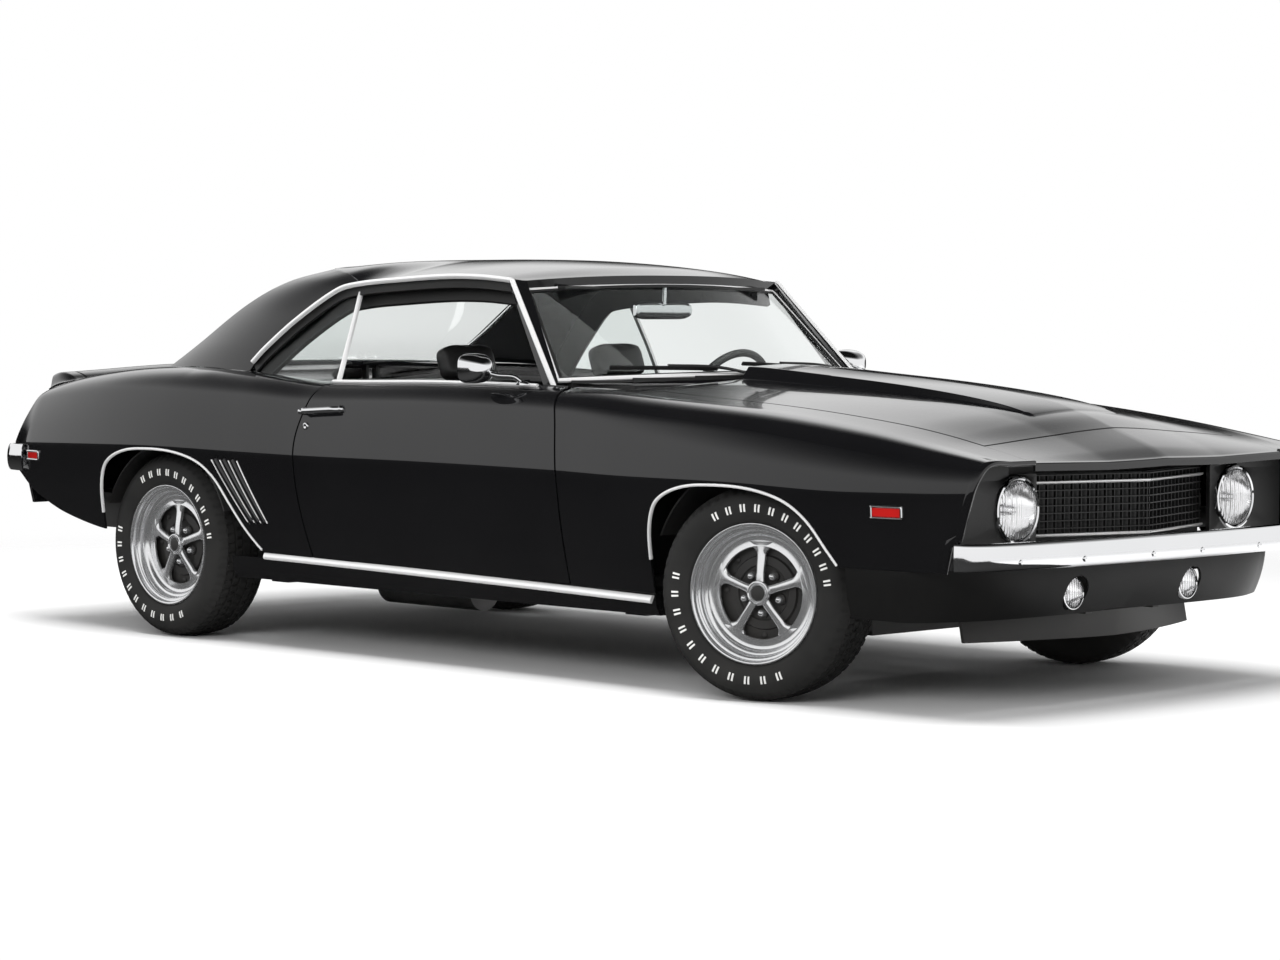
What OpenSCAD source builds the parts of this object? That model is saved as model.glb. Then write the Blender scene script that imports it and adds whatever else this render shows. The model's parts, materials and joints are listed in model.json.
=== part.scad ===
// Two-door hardtop coupe with a long hood, a short deck and steel five-spoke wheels.
// +X points ahead, +Y to the left and +Z up. The origin is on the floor, below the middle of the car.

/* [Overall] */
// Distance between the front and the rear axle
wheelbase = 2743; // [2650:1:2850]
// Front axle to the front of the bumper
front_overhang = 937; // [880:1:1000]
// Rear axle to the back of the rear bumper
rear_overhang = 1044; // [1000:1:1100]
// Width over the rear wheel arches
body_w = 1880; // [1840:1:1920]
// Height of the roof's crown above the floor
roof_h = 1312; // [1290:1:1340]
// Distance between the middles of the two tyres on an axle
track = 1512; // [1480:1:1530]

/* [Wheels] */
// Outer diameter of a tyre
tyre_d = 640; // [620:1:660]
// Widest part of a tyre
tyre_w = 226; // [205:1:235]
// Share of the tyre's diameter that the rim's flange takes
rim_share = 0.656; // [0.6:0.002:0.7]
// Width of the rim over its flanges
rim_w = 200; // [180:1:210]
// Spokes of a wheel
spoke_count = 5; // [4:1:8]
// Circle of the wheel nuts
nut_circle = 121; // [110:1:130]
// Radius of the spindle that a wheel turns on
spindle_r = 22; // [18:1:28]
// Room between a spindle and its hub's bore
spindle_play = 0.1; // [0.05:0.01:0.3]
// Furthest angle that the front wheels steer
steer_angle = 32; // [25:1:35]

/* [Body panels] */
// Gap around the doors, the hood and the deck lid
shut_gap = 7; // [6:0.5:9]
// Thickness of a fender, quarter or top panel
panel_t = 14; // [10:1:18]
// Thickness of a whole door
door_t = 105; // [90:1:120]
// Bottom edge of the doors
door_bottom_z = 305; // [295:1:320]
// Underside of the rockers
rocker_z = 228; // [215:1:240]
// Half width of the hood at its rear edge
hood_half_w = 640; // [620:1:650]
// Height of the hood's raised middle at its rear edge
bulge_h = 36; // [20:1:45]
// Half width of the hood's raised middle at its rear edge
bulge_half_w = 205; // [150:1:240]
// Half width of the deck lid
deck_half_w = 640; // [620:1:650]
// Height of the spoiler above the deck lid's rear edge
spoiler_h = 52; // [30:1:60]

/* [Hinges] */
// Radius of a hinge pin
pin_r = 6; // [5:0.5:8]
// Room between a hinge pin and its eye
pin_play = 0.1; // [0.05:0.01:0.3]
// Wall of a hinge eye
eye_wall = 4; // [3:0.5:6]

/* [Glass] */
// Thickness of the windows
glass_t = 6; // [4:0.5:8]

/* [Hidden] */
$fn = 48;

half_w = body_w / 2;
front_x = (wheelbase + front_overhang + rear_overhang) / 2;
front_axle_x = front_x - front_overhang;
rear_axle_x = front_axle_x - wheelbase;
rear_x = -front_x;
axle_z = tyre_d / 2;
nose_x = front_x - 62;
tail_x = rear_x + 112;
door_mid_x = 50;
gap = shut_gap / 2;

// The body's sections from tail to nose. Columns: place along X, inset of the crease from half_w,
// height of the crease, height of the panel's lower edge, inset of the shoulder, height of the shoulder.
AT = 0; CREASE_IN = 1; CREASE_Z = 2; LOW_Z = 3; SHOULDER_IN = 4; SHOULDER_Z = 5;
BODY = [
    [tail_x, 95, 650, 545, 165, 805],
    [tail_x + 150, 55, 655, 468, 140, 866],
    [rear_axle_x - 380, 12, 664, 372, 95, 920],
    [rear_axle_x, 0, 670, 340, 85, 938],
    [rear_axle_x + 420, 15, 664, 303, 88, 924],
    [-560, 29, 660, 303, 92, 905],
    [door_mid_x, 35, 660, 303, 92, 913],
    [640, 28, 657, 303, 90, 907],
    [front_axle_x - 480, 17, 652, 303, 88, 886],
    [front_axle_x, 10, 652, 420, 90, 852],
    [front_axle_x + 380, 22, 642, 420, 98, 810],
    [nose_x - 200, 52, 648, 420, 108, 764],
    [nose_x, 90, 655, 425, 122, 729]];
// Inset of a panel's lower edge, measured from the crease above it
low_tuck = 42;

// A wheel opening. Columns: distance ahead of the opening's middle, height above the axle.
ARCH_OUTLINE = [[-347, 80], [-342, 180], [-318, 250], [-270, 286], [-190, 310], [-100, 318], [30, 317],
    [140, 302], [225, 274], [297, 224], [365, 142], [430, 62], [495, -2], [560, -48]];
ARCH = [for (a = ARCH_OUTLINE) [a[0], axle_z + a[1]]];
rear_arch_x = rear_axle_x + 38;
rear_arch_up = 18;

// Edges of the door. Columns: height, place along X.
DOOR_FRONT = [[280, 702], [473, 690], [656, 672], [780, 650], [860, 622], [930, 584]];
DOOR_REAR = [[280, -518], [475, -562], [608, -583], [707, -585], [808, -560], [898, -524], [930, -508]];

// Curve through a table's rows: the value of column c at distance x
function row_below(t, x, i = 0) = i + 2 >= len(t) || x < t[i + 1][0] ? i : row_below(t, x, i + 1);
function steepness(t, c, i) =
    let (a = max(i - 1, 0), b = min(i + 1, len(t) - 1)) (t[b][c] - t[a][c]) / (t[b][0] - t[a][0]);
function along(t, c, x) =
    let (i = row_below(t, x), h = t[i + 1][0] - t[i][0], s = (x - t[i][0]) / h)
    t[i][c] * (2 * s ^ 3 - 3 * s ^ 2 + 1) + steepness(t, c, i) * h * (s ^ 3 - 2 * s ^ 2 + s)
    + t[i + 1][c] * (3 * s ^ 2 - 2 * s ^ 3) + steepness(t, c, i + 1) * h * (s ^ 3 - s ^ 2);
function mix(a, b, s) = a + (b - a) * s;
function ramp(a, b, x) = let (s = min(1, max(0, (x - a) / (b - a)))) s * s * (3 - 2 * s);
function steps(a, b, n) = [for (k = [0:n]) a + (b - a) * k / n];

// The body's side: half width at a place and height
function crease_y(x) = half_w - along(BODY, CREASE_IN, x);
function crease_z(x) = along(BODY, CREASE_Z, x);
function shoulder_y(x) = half_w - along(BODY, SHOULDER_IN, x);
function shoulder_z(x) = along(BODY, SHOULDER_Z, x);
function side_y(x, z) =
    let (w = crease_y(x), zc = crease_z(x), zs = shoulder_z(x), tall = zc - 303, s = (z - zc) / (zs - zc))
    z < zc ? w - low_tuck * ((zc - z) / tall) ^ 2 : w - (w - shoulder_y(x)) * (0.25 * s + 0.75 * s * s);

// A closed solid whose triangles are turned to face outwards
module solid(points, faces) {
    volume = [for (f = faces) cross(points[f[1]], points[f[2]]) * points[f[0]]] * [for (f = faces) 1];
    polyhedron(points, volume > 0 ? [for (f = faces) [f[0], f[2], f[1]]] : faces);
}
// A closed plate between an outer and an inner grid of points
module plate(outer, inner) {
    r = len(outer);
    c = len(outer[0]);
    n = r * c;
    function id(i, j) = i * c + j;
    skin = [for (i = [0:r - 2], j = [0:c - 2]) [id(i, j), id(i, j + 1), id(i + 1, j + 1), id(i + 1, j)]];
    back = [for (q = skin) [q[3] + n, q[2] + n, q[1] + n, q[0] + n]];
    rim = concat([for (j = [0:c - 2]) [id(0, j + 1), id(0, j)]],
        [for (j = [0:c - 2]) [id(r - 1, j), id(r - 1, j + 1)]],
        [for (i = [0:r - 2]) [id(i, 0), id(i + 1, 0)]],
        [for (i = [0:r - 2]) [id(i + 1, c - 1), id(i, c - 1)]]);
    wall = [for (e = rim) [e[0], e[1], e[1] + n, e[0] + n]];
    quads = concat(skin, back, wall);
    solid(concat([for (row = outer) each row], [for (row = inner) each row]),
        [for (q = quads, k = [0, 1]) k == 0 ? [q[0], q[1], q[2]] : [q[0], q[2], q[3]]]);
}
// A closed bar through rings of points
module bar(rings) {
    r = len(rings);
    c = len(rings[0]);
    sides = [for (i = [0:r - 2], j = [0:c - 1], k = [0, 1])
        let (a = i * c + j, b = i * c + (j + 1) % c) k == 0 ? [a, a + c, b + c] : [a, b + c, b]];
    ends = concat([for (j = [1:c - 2]) [0, j, j + 1]],
        [for (j = [1:c - 2]) [(r - 1) * c, (r - 1) * c + j + 1, (r - 1) * c + j]]);
    solid([for (ring = rings) each ring], concat(sides, ends));
}
module both_sides() {
    children();
    mirror([0, 1, 0]) children();
}
module along_y(r, length, at) translate(at) rotate([90, 0, 0]) cylinder(r = r, h = length, center = true);
module rod(a, b, r) let (d = b - a)
    translate(a) rotate([0, acos(d[2] / norm(d)), atan2(d[1], d[0])]) cylinder(r = r, h = norm(d));
module along_x(r, length, at) translate(at) rotate([0, 90, 0]) cylinder(r = r, h = length, center = true);

// Heights along the body's middle line. Columns: place along X, height.
MIDDLE = [[tail_x + 50, 868], [tail_x + 200, 902], [rear_axle_x - 480, 932], [rear_axle_x - 240, 947],
    [rear_axle_x - 80, 952], [rear_axle_x + 420, 938], [-560, 918], [640, 915], [front_axle_x - 630, 932],
    [front_axle_x - 306, 921], [front_axle_x + 104, 901], [front_axle_x + 416, 874], [nose_x - 300, 843],
    [nose_x - 183, 802], [nose_x - 50, 752], [nose_x + 19, 716]];
// The top between the two shoulders
function top_z(x, y) =
    let (zs = shoulder_z(x), s = min(1, abs(y) / shoulder_y(x)))
    zs + (along(MIDDLE, 1, x) - zs) * (1 - s * s) ^ 2;

hood_rear_x = front_axle_x - 630;
hood_front_x = nose_x - 183;
hood_front_half_w = hood_half_w - 34;
bulge_front_x = nose_x - 325;
bulge_slope_w = 34;
function hood_edge_y(x) = mix(hood_half_w, hood_front_half_w, (x - hood_rear_x) / (hood_front_x - hood_rear_x));
function bulge_share(x) = max(0, (bulge_front_x - x) / (bulge_front_x - hood_rear_x));
function bulge_in_y(x) = bulge_half_w - bulge_slope_w * max(0.1, bulge_share(x));
function bulge_z(x, y) =
    let (far = min(1, max(0, (abs(y) - bulge_in_y(x)) / (bulge_half_w - bulge_in_y(x)))))
    bulge_h * bulge_share(x) * (1 - far);
nose_peak = 7;
function peak_z(y) = nose_peak * max(0, 1 - abs(y) / 280);

// Side panels: the upper rows run over the shoulder to an inner edge
low_rows = 4;
high_rows = 4;
top_rows = 2;
fender_low_z = 421;
nose_rake = 0.42;
tail_rake = 0.62;
function door_front(z) = along(DOOR_FRONT, 1, z);
function door_rear(z) = along(DOOR_REAR, 1, z);
function row_heights(x, low) =
    concat(steps(low, crease_z(x), low_rows),
        [for (k = [1:high_rows]) mix(crease_z(x), shoulder_z(x), k / high_rows)]);
function fender_x(x, z) =
    x + (door_front(z) + gap - door_front(280)) * (1 - ramp(door_front(280), door_front(280) + 260, x))
    - nose_rake * (shoulder_z(x) - z) * ramp(nose_x - 420, nose_x, x);
function quarter_x(x, z) =
    x + (door_rear(z) - gap - door_rear(280)) * ramp(door_rear(280) - 240, door_rear(280), x)
    - tail_rake * (z - crease_z(x)) * -1 * ramp(tail_x + 380, tail_x, x) * (z > crease_z(x) ? 1 : -0.5);
// Points of a side panel's column, outside or one panel thickness inside
function fender_column(x, low, t) =
    let (side = [for (z = row_heights(x, low)) let (xs = fender_x(x, z)) [xs, side_y(xs, z) - t, z]],
        n = len(side), lip = side[n - 1],
        inner = max(hood_edge_y(min(x, hood_front_x)) + gap, 0),
        top = [for (k = [1:top_rows]) let (y = mix(shoulder_y(x), inner, k / top_rows))
            [lip[0], y - 0, top_z(x, y) - t]])
    concat([for (k = [0:n - 2]) side[k]], [[lip[0], lip[1], lip[2] - t * 0.7]], top);
function quarter_inner_y(x) = mix(deck_half_w + gap, half_w - 172, ramp(rear_axle_x - 240, rear_axle_x + 200, x));
// Place of a quarter's column at its shoulder, where the tail leans ahead
function quarter_top_x(x) = quarter_x(x, shoulder_z(quarter_x(x, shoulder_z(x))));
function quarter_heights(x, low) =
    let (top = shoulder_z(quarter_top_x(x)))
    concat(steps(low, crease_z(x), low_rows), [for (k = [1:high_rows]) mix(crease_z(x), top, k / high_rows)]);
function quarter_column(x, low, t) =
    let (side = [for (z = quarter_heights(x, low)) let (xs = quarter_x(x, z)) [xs, side_y(xs, z) - t, z]],
        n = len(side), lip = side[n - 1], inner = quarter_inner_y(lip[0]),
        top = [for (k = [1:top_rows]) let (y = mix(shoulder_y(lip[0]), inner, k / top_rows))
            [lip[0], y, top_z(lip[0], y) - t]])
    concat([for (k = [0:n - 2]) side[k]], [[lip[0], lip[1], lip[2] - t * 0.7]], top);
FENDER_COLUMNS = concat(
    [for (x = [door_front(280), door_front(280) + 80, door_front(280) + 170, door_front(280) + 265,
        front_axle_x - 349]) [x, door_bottom_z - 1.5]],
    [for (a = ARCH) if (a[1] > fender_low_z) [front_axle_x + a[0], a[1]]],
    [for (x = [front_axle_x + 398, nose_x - 380, nose_x - 270, nose_x - 170, nose_x - 80, nose_x]) [x, fender_low_z]]);
function quarter_low(x) = along(BODY, LOW_Z, x);
QUARTER_COLUMNS = concat(
    [for (x = [tail_x, tail_x + 70, tail_x + 150, tail_x + 280, tail_x + 420, rear_arch_x - 420,
        rear_arch_x - 352]) [x, quarter_low(x)]],
    [for (a = ARCH) if (a[1] > 330) [rear_arch_x + a[0], a[1] + rear_arch_up]],
    [[rear_arch_x + 545, door_bottom_z - 1.5], [door_rear(280) - 120, door_bottom_z - 1.5],
        [door_rear(280), door_bottom_z - 1.5]]);

module front_fenders() color([0.03, 0.03, 0.03]) both_sides()
    plate([for (c = FENDER_COLUMNS) fender_column(c[0], c[1], 0)],
        [for (c = FENDER_COLUMNS) fender_column(c[0], c[1], panel_t)]);

// End of the spoiler on a quarter. It runs from the lid's edge out over the shoulder and dies away there.
spoiler_end_w = 96;
function spoiler_end_ring(s) =
    let (y = deck_half_w + gap + 0.5 + spoiler_end_w * s, fall = 1 - ramp(0.45, 1, s) * 0.86)
    [for (x = steps(deck_rear_x, spoiler_front_x, 5)) [x - lid_back(x) * fall, y, top_z(x, y) + lid_up(x) * fall]];
function spoiler_end_foot(s) =
    let (y = deck_half_w + gap + 0.5 + spoiler_end_w * s)
    [for (x = steps(deck_rear_x, spoiler_front_x, 5)) [x, y, top_z(x, y) - 6]];
module quarter_panels() color([0.03, 0.03, 0.03]) both_sides() {
    plate([for (c = QUARTER_COLUMNS) quarter_column(c[0], c[1], 0)],
        [for (c = QUARTER_COLUMNS) quarter_column(c[0], c[1], panel_t)]);
    plate([for (s = steps(0, 1, 5)) spoiler_end_ring(s)], [for (s = steps(0, 1, 5)) spoiler_end_foot(s)]);
}

// Hood, with the eyes of its hinges behind its rear edge
hood_pin_x = hood_rear_x - 30;
hood_pin_y = 560;
hood_pin_z = top_z(hood_rear_x, hood_pin_y) - 20;
hood_eye_w = 30;
hood_arm_len = 85;
eye_r = pin_r + pin_play + eye_wall;
HOOD_T = [-1, -0.86, -0.7, -0.52, -0.36, -0.32, -0.265, -0.13, 0, 0.13, 0.265, 0.32, 0.36, 0.52, 0.7, 0.86, 1];
// Points across half a hood, from its middle to its edge, with rows on both edges of the raised middle
function hood_half(x) = concat(steps(0, bulge_in_y(x), 3), steps(bulge_half_w, hood_edge_y(x) - gap, 5));
function hood_across(x) = let (h = hood_half(x)) concat([for (k = [len(h) - 1:-1:1]) -h[k]], h);
function hood_point(x, y, t) = [x, y, top_z(x, y) + bulge_z(x, y) + peak_z(y) - t];
HOOD_X = [for (k = [0:12]) mix(hood_rear_x, hood_front_x - gap, k / 12)];
module hood() color([0.03, 0.03, 0.03]) {
    plate([for (x = HOOD_X) [for (y = hood_across(x)) hood_point(x, -y, 0)]],
        [for (x = HOOD_X) [for (y = hood_across(x)) hood_point(x, -y, panel_t)]]);
    for (side = [-1, 1]) difference() {
        union() {
            along_y(eye_r, hood_eye_w, [hood_pin_x, side * hood_pin_y, hood_pin_z]);
            translate([hood_pin_x, side * hood_pin_y - hood_eye_w / 2, hood_pin_z - eye_r])
                cube([hood_arm_len, hood_eye_w, eye_r + 11]);
        }
        along_y(pin_r + pin_play, hood_eye_w + 2, [hood_pin_x, side * hood_pin_y, hood_pin_z]);
    }
}

// Header panel ahead of the hood, with a lip that turns down above the grille
header_lip = 24;
header_half_w = hood_front_half_w + gap - 0.5;
function header_edge_x(y) = nose_x + 19 - 25 * (y / 820) ^ 2;
function header_point(k, s, t) =
    let (y = s * header_half_w, xe = header_edge_x(y), x = k < 5 ? mix(hood_front_x + gap, xe, k / 4) : xe - 4)
    [x - (k > 3 ? t : 0), y, top_z(min(x, nose_x + 19), y) + peak_z(y) - (k < 5 ? t : header_lip)
        - (k == 5 ? 0 : 0)];
module nose() color([0.03, 0.03, 0.03])
    plate([for (k = [0:5]) [for (s = HOOD_T) header_point(k, -s, 0)]],
        [for (k = [0:5]) [for (s = HOOD_T) header_point(k, -s, 12)]]);

// Lamps and grille
lamp_y = 534;
lamp_z = 586;
lamp_r = 92;
bezel_x = nose_x - 150;
bezel_t = 14;
bezel_in_y = 424;
bezel_out_y = 800;
bezel_low_z = 470;
bezel_top_z = 690;
module headlamp_bezels() color([0.04, 0.04, 0.04]) both_sides() difference() {
    translate([bezel_x, bezel_in_y, bezel_low_z])
        cube([bezel_t, bezel_out_y - bezel_in_y, bezel_top_z - bezel_low_z]);
    along_x(lamp_r + 0.5, 80, [bezel_x, lamp_y, lamp_z]);
}
lamp_depth = 48;
fog_y = 281;
fog_z = 336;
fog_r = 46;
fog_x = nose_x - 118;
module front_lamps() color([0.8, 0.8, 0.82]) both_sides() {
    along_x(lamp_r, lamp_depth, [bezel_x + bezel_t + 22 - lamp_depth / 2, lamp_y, lamp_z]);
    along_x(fog_r, 40, [fog_x - 20, fog_y, fog_z]);
}
grille_low_z = 498;
grille_top_z = 684;
grille_end_x = bezel_x - 12;
grille_mid_x = nose_x - 46;
grille_half_w = bezel_in_y - 3;
grille_bar = 6;
grille_columns = 9;
grille_rows = 6;
grille_turn = atan2(grille_mid_x - grille_end_x, grille_half_w);
grille_len = sqrt((grille_mid_x - grille_end_x) ^ 2 + grille_half_w ^ 2);
module grille() color([0.05, 0.05, 0.05]) both_sides()
    translate([grille_mid_x, 0.4, grille_low_z]) rotate([0, 0, 90 + grille_turn]) rotate([90, 0, 0])
        linear_extrude(10) difference() {
            square([grille_len, grille_top_z - grille_low_z]);
            for (i = [0:grille_columns - 1], j = [0:grille_rows - 1])
                translate([16 + i * (grille_len - 26) / grille_columns,
                    10 + j * (grille_top_z - grille_low_z - 14) / grille_rows])
                    square([(grille_len - 26) / grille_columns - grille_bar,
                        (grille_top_z - grille_low_z - 14) / grille_rows - grille_bar]);
        }

// Bumpers: a bar along a bowed line. Columns: half width, distance behind the bumper's middle, thickness.
FRONT_BOW = [[0, 0, 46], [220, 4, 46], [450, 16, 46], [650, 34, 44], [780, 58, 36], [850, 88, 24], [880, 128, 14]];
REAR_BOW = [[0, 0, 46], [250, 5, 46], [480, 18, 46], [660, 34, 42], [800, 56, 30], [868, 92, 17], [886, 150, 14],
    [894, 215, 10]];
front_bumper_z = 468;
front_bumper_h = 80;
rear_bumper_z = 596;
rear_bumper_h = 96;
bumper_t = 46;
// Section of a bumper. Columns: share of its depth, share of its half height.
BUMPER_RING = [[1, 0.86], [0.45, 1], [0.12, 0.8], [0, 0.25], [0, -0.25], [0.12, -0.8], [0.45, -1], [1, -0.86]];
function bow_point(bow, k) = k < 0 ? [bow[-k][0] * -1, bow[-k][1], bow[-k][2]] : bow[k];
function bow_turn(bow, k) =
    let (n = len(bow) - 1, a = bow_point(bow, max(k - 1, -n)), b = bow_point(bow, min(k + 1, n)))
    atan2(b[1] - a[1], b[0] - a[0]);
module bumper(bow, h) {
    n = len(bow) - 1;
    bar([for (k = [-n:n]) let (p = bow_point(bow, k), a = bow_turn(bow, k))
        [for (q = BUMPER_RING) [-p[1] - q[0] * p[2] * cos(a), p[0] - q[0] * p[2] * sin(a), q[1] * h / 2]]]);
}
module front_bumper() color([0.85, 0.85, 0.87]) translate([front_x, 0, front_bumper_z])
    bumper(FRONT_BOW, front_bumper_h);
module rear_bumper() color([0.85, 0.85, 0.87]) translate([rear_x, 0, rear_bumper_z]) mirror([1, 0, 0])
    bumper(REAR_BOW, rear_bumper_h);

function valance_side(x) = side_y(x, fender_low_z) - 4;
// Valance below the front bumper, with the chin spoiler. Columns: place along X, half width.
VALANCE = [[nose_x - 75, 0], [nose_x - 78, 210], [nose_x - 90, 420], [nose_x - 115, 610], [nose_x - 160, 740],
    [nose_x - 240, valance_side(nose_x - 240)], [nose_x - 340, valance_side(nose_x - 340)],
    [front_axle_x + 420, valance_side(front_axle_x + 420)]];
valance_low_z = 272;
valance_top_z = fender_low_z - 0.5;
function valance_ring(k, t) =
    let (s = sign(k), p = VALANCE[abs(k)], far = abs(k) / (len(VALANCE) - 1))
    [for (j = [0:4]) let (low = 1 - j / 4, in = 70 * low * low * (1 - 0.5 * far) + t)
        [p[0] - in * (1 - far * 0.9), s * (p[1] - in * (abs(k) < 2 ? 0 : far)),
            mix(valance_top_z, valance_low_z, low)]];
chin_half_w = 546;
chin_z = 190;
chin_x = nose_x - 172;
chin_sweep = 126;
chin_t = 12;
// A section of the chin spoiler: it leans back towards its lower edge and is swept back at its ends
function chin_ring(s) =
    let (x = chin_x - chin_sweep * abs(s) ^ 1.6, y = s * chin_half_w, low = chin_z + 2 * abs(s),
        high = valance_low_z + 6, lean = mix(22, -18, abs(s)))
    [[x, y, low], [x + lean, y, high], [x + lean - chin_t, y, high], [x - chin_t, y, low]];
module front_valance() color([0.03, 0.03, 0.03]) {
    n = len(VALANCE) - 1;
    difference() {
        plate([for (k = [-n:n]) valance_ring(k, 0)], [for (k = [-n:n]) valance_ring(k, 12)]);
        both_sides() along_x(fog_r + 0.6, 160, [fog_x - 40, fog_y, fog_z]);
    }
    bar([for (s = steps(-1, 1, 12)) chin_ring(s)]);
    both_sides() translate([chin_x - 52, 150, valance_low_z - 6]) cube([84, 30, 12]);
}

// Roof. Columns: place of the middle, height of the middle, place of the rail, half width and height of the rail.
roof_half_w = half_w - 312;
ROOF = [[290, roof_h - 50, 205, roof_half_w - 28, roof_h - 70], [150, roof_h - 23, 90, roof_half_w - 16, roof_h - 58],
    [-100, roof_h - 5, -125, roof_half_w - 6, roof_h - 54], [-350, roof_h, -360, roof_half_w, roof_h - 65],
    [-560, roof_h - 3, -560, roof_half_w + 8, roof_h - 80], [-650, roof_h - 7, -640, roof_half_w - 16, roof_h - 50],
    [-710, roof_h - 12, -720, roof_half_w - 48, roof_h - 35], [-760, roof_h - 18, -800, roof_half_w - 83, roof_h - 27]];
ROOF_T = [1, 0.94, 0.85, 0.7, 0.45, 0.2, 0, -0.2, -0.45, -0.7, -0.85, -0.94, -1];
roof_t = 28;
function roof_point(r, s, t) =
    [mix(r[0], r[2], s * s), s * r[3] * (1 - t / 900), r[1] - (r[1] - r[4]) * abs(s) ^ 2.4 - t];
sail_foot_x = -990;
// Sail panel behind the quarter window. Columns: front edge x, y, z, rear edge x, y, z.
SAIL = [[-560, roof_half_w + 4, roof_h - 80, -790, roof_half_w - 80, roof_h - 26],
    [-651, roof_half_w + 22, roof_h - 100, -985, roof_half_w - 40, roof_h - 70],
    [-800, roof_half_w + 72, roof_h - 198, -1145, roof_half_w + 8, roof_h - 146],
    [-925, roof_half_w + 114, roof_h - 296, -1380, roof_half_w + 36, roof_h - 281],
    [sail_foot_x, roof_half_w + 140, 0, -1556, roof_half_w + 44, 0]];
sail_lift = 2;
function sail_point(r, s, t) =
    let (x = mix(r[0], r[3], s), y = mix(r[1], r[4], s) + 88 * s * (1 - s) - t)
    [x, y, r[2] > 0 ? mix(r[2], r[5], s) : top_z(x, y) + sail_lift];
sail_t = 34;
// Windshield pillar: its four edges. Columns: upper x, half width, height, lower x, half width, height.
PILLAR = [[180, roof_half_w + 6, roof_h - 69, 490, roof_half_w + 110, 897],
    [168, roof_half_w, roof_h - 90, 440, roof_half_w + 106, 897],
    [186, roof_half_w - 38, roof_h - 90, 430, roof_half_w + 56, 897],
    [206, roof_half_w - 36, roof_h - 69, 462, roof_half_w + 69, 924]];
module pillar() bar([for (s = steps(0, 1, 4)) [for (e = PILLAR) [for (k = [0:2]) mix(e[k], e[k + 3], s)]]]);
RAIL = [[180, roof_half_w + 6, roof_h - 68], [30, roof_half_w + 2, roof_h - 57], [-125, roof_half_w + 8, roof_h - 55],
    [-360, roof_half_w + 14, roof_h - 66], [-560, roof_half_w + 22, roof_h - 81], [-651, roof_half_w + 34, roof_h - 102],
    [-800, roof_half_w + 84, roof_h - 200], [-960, roof_half_w + 136, roof_h - 328]];
rail_r = 7;
// Panel between the rear window and the deck lid
filler_front_x = rear_axle_x - 180;
window_bow = 40;
deck_front_x = rear_axle_x - 238;
deck_rear_x = tail_x + 68;
spoiler_back = 34;
deck_pin_x = deck_front_x + 30;
deck_pin_y = 250;
deck_pin_z = top_z(deck_front_x, deck_pin_y) - 15;
deck_eye_w = 30;
function filler_point(h, s, t) =
    let (y = s * (deck_half_w + gap - 1), x = mix(filler_front_x - window_bow * s * s, deck_front_x + shut_gap, h))
    [x, y, top_z(x, y) - t];
module roof() color([0.03, 0.03, 0.03]) difference() {
    union() {
        plate([for (r = ROOF) [for (s = ROOF_T) roof_point(r, s, 0)]],
            [for (r = ROOF) [for (s = ROOF_T) roof_point(r, s, roof_t)]]);
        plate([for (h = steps(0, 1, 2)) [for (s = ROOF_T) filler_point(h, s, 0)]],
            [for (h = steps(0, 1, 2)) [for (s = ROOF_T) filler_point(h, s, panel_t)]]);
        both_sides() {
            plate([for (s = steps(0, 1, 6)) [for (r = SAIL) sail_point(r, s, 0)]],
                [for (s = steps(0, 1, 6)) [for (r = SAIL) sail_point(r, s, sail_t)]]);
            pillar();
            for (k = [0:len(RAIL) - 2]) hull() {
                translate(RAIL[k]) sphere(rail_r, $fn = 8);
                translate(RAIL[k + 1]) sphere(rail_r, $fn = 8);
            }
        }
    }
    for (side = [-1, 1]) translate([deck_front_x - 5, side * deck_pin_y - deck_eye_w / 2 - 17, deck_pin_z - 40])
        cube([52, deck_eye_w + 34, 100]);
}

// Deck lid with the middle of the spoiler, and the eyes of its hinges ahead of its front edge
DECK_T = [1, 0.8, 0.55, 0.3, 0, -0.3, -0.55, -0.8, -1];
spoiler_front_x = deck_rear_x + 150;
function lid_up(x) = spoiler_h * ramp(spoiler_front_x, deck_rear_x + 20, x) ^ 1.5;
function lid_back(x) = spoiler_back * ramp(deck_rear_x + 80, deck_rear_x, x);
function deck_point(x, s, t) =
    let (y = s * (deck_half_w - gap)) [x - (t > 0 ? 0 : lid_back(x)), y, top_z(x, y) + (t > 0 ? -t : lid_up(x))];
DECK_X = concat(steps(deck_rear_x, spoiler_front_x, 5), [for (k = [1:4]) mix(spoiler_front_x, deck_front_x, k / 4)]);
module deck_lid() color([0.03, 0.03, 0.03]) {
    plate([for (k = [len(DECK_X) - 1:-1:0]) [for (s = DECK_T) deck_point(DECK_X[k], s, 0)]],
        [for (k = [len(DECK_X) - 1:-1:0]) [for (s = DECK_T) deck_point(DECK_X[k], s, panel_t)]]);
    for (side = [-1, 1]) difference() {
        union() {
            along_y(eye_r, deck_eye_w, [deck_pin_x, side * deck_pin_y, deck_pin_z]);
            translate([deck_pin_x - 130, side * deck_pin_y - deck_eye_w / 2, deck_pin_z - eye_r])
                cube([130, deck_eye_w, 12]);
        }
        along_y(pin_r + pin_play, deck_eye_w + 2, [deck_pin_x, side * deck_pin_y, deck_pin_z]);
    }
}

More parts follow.
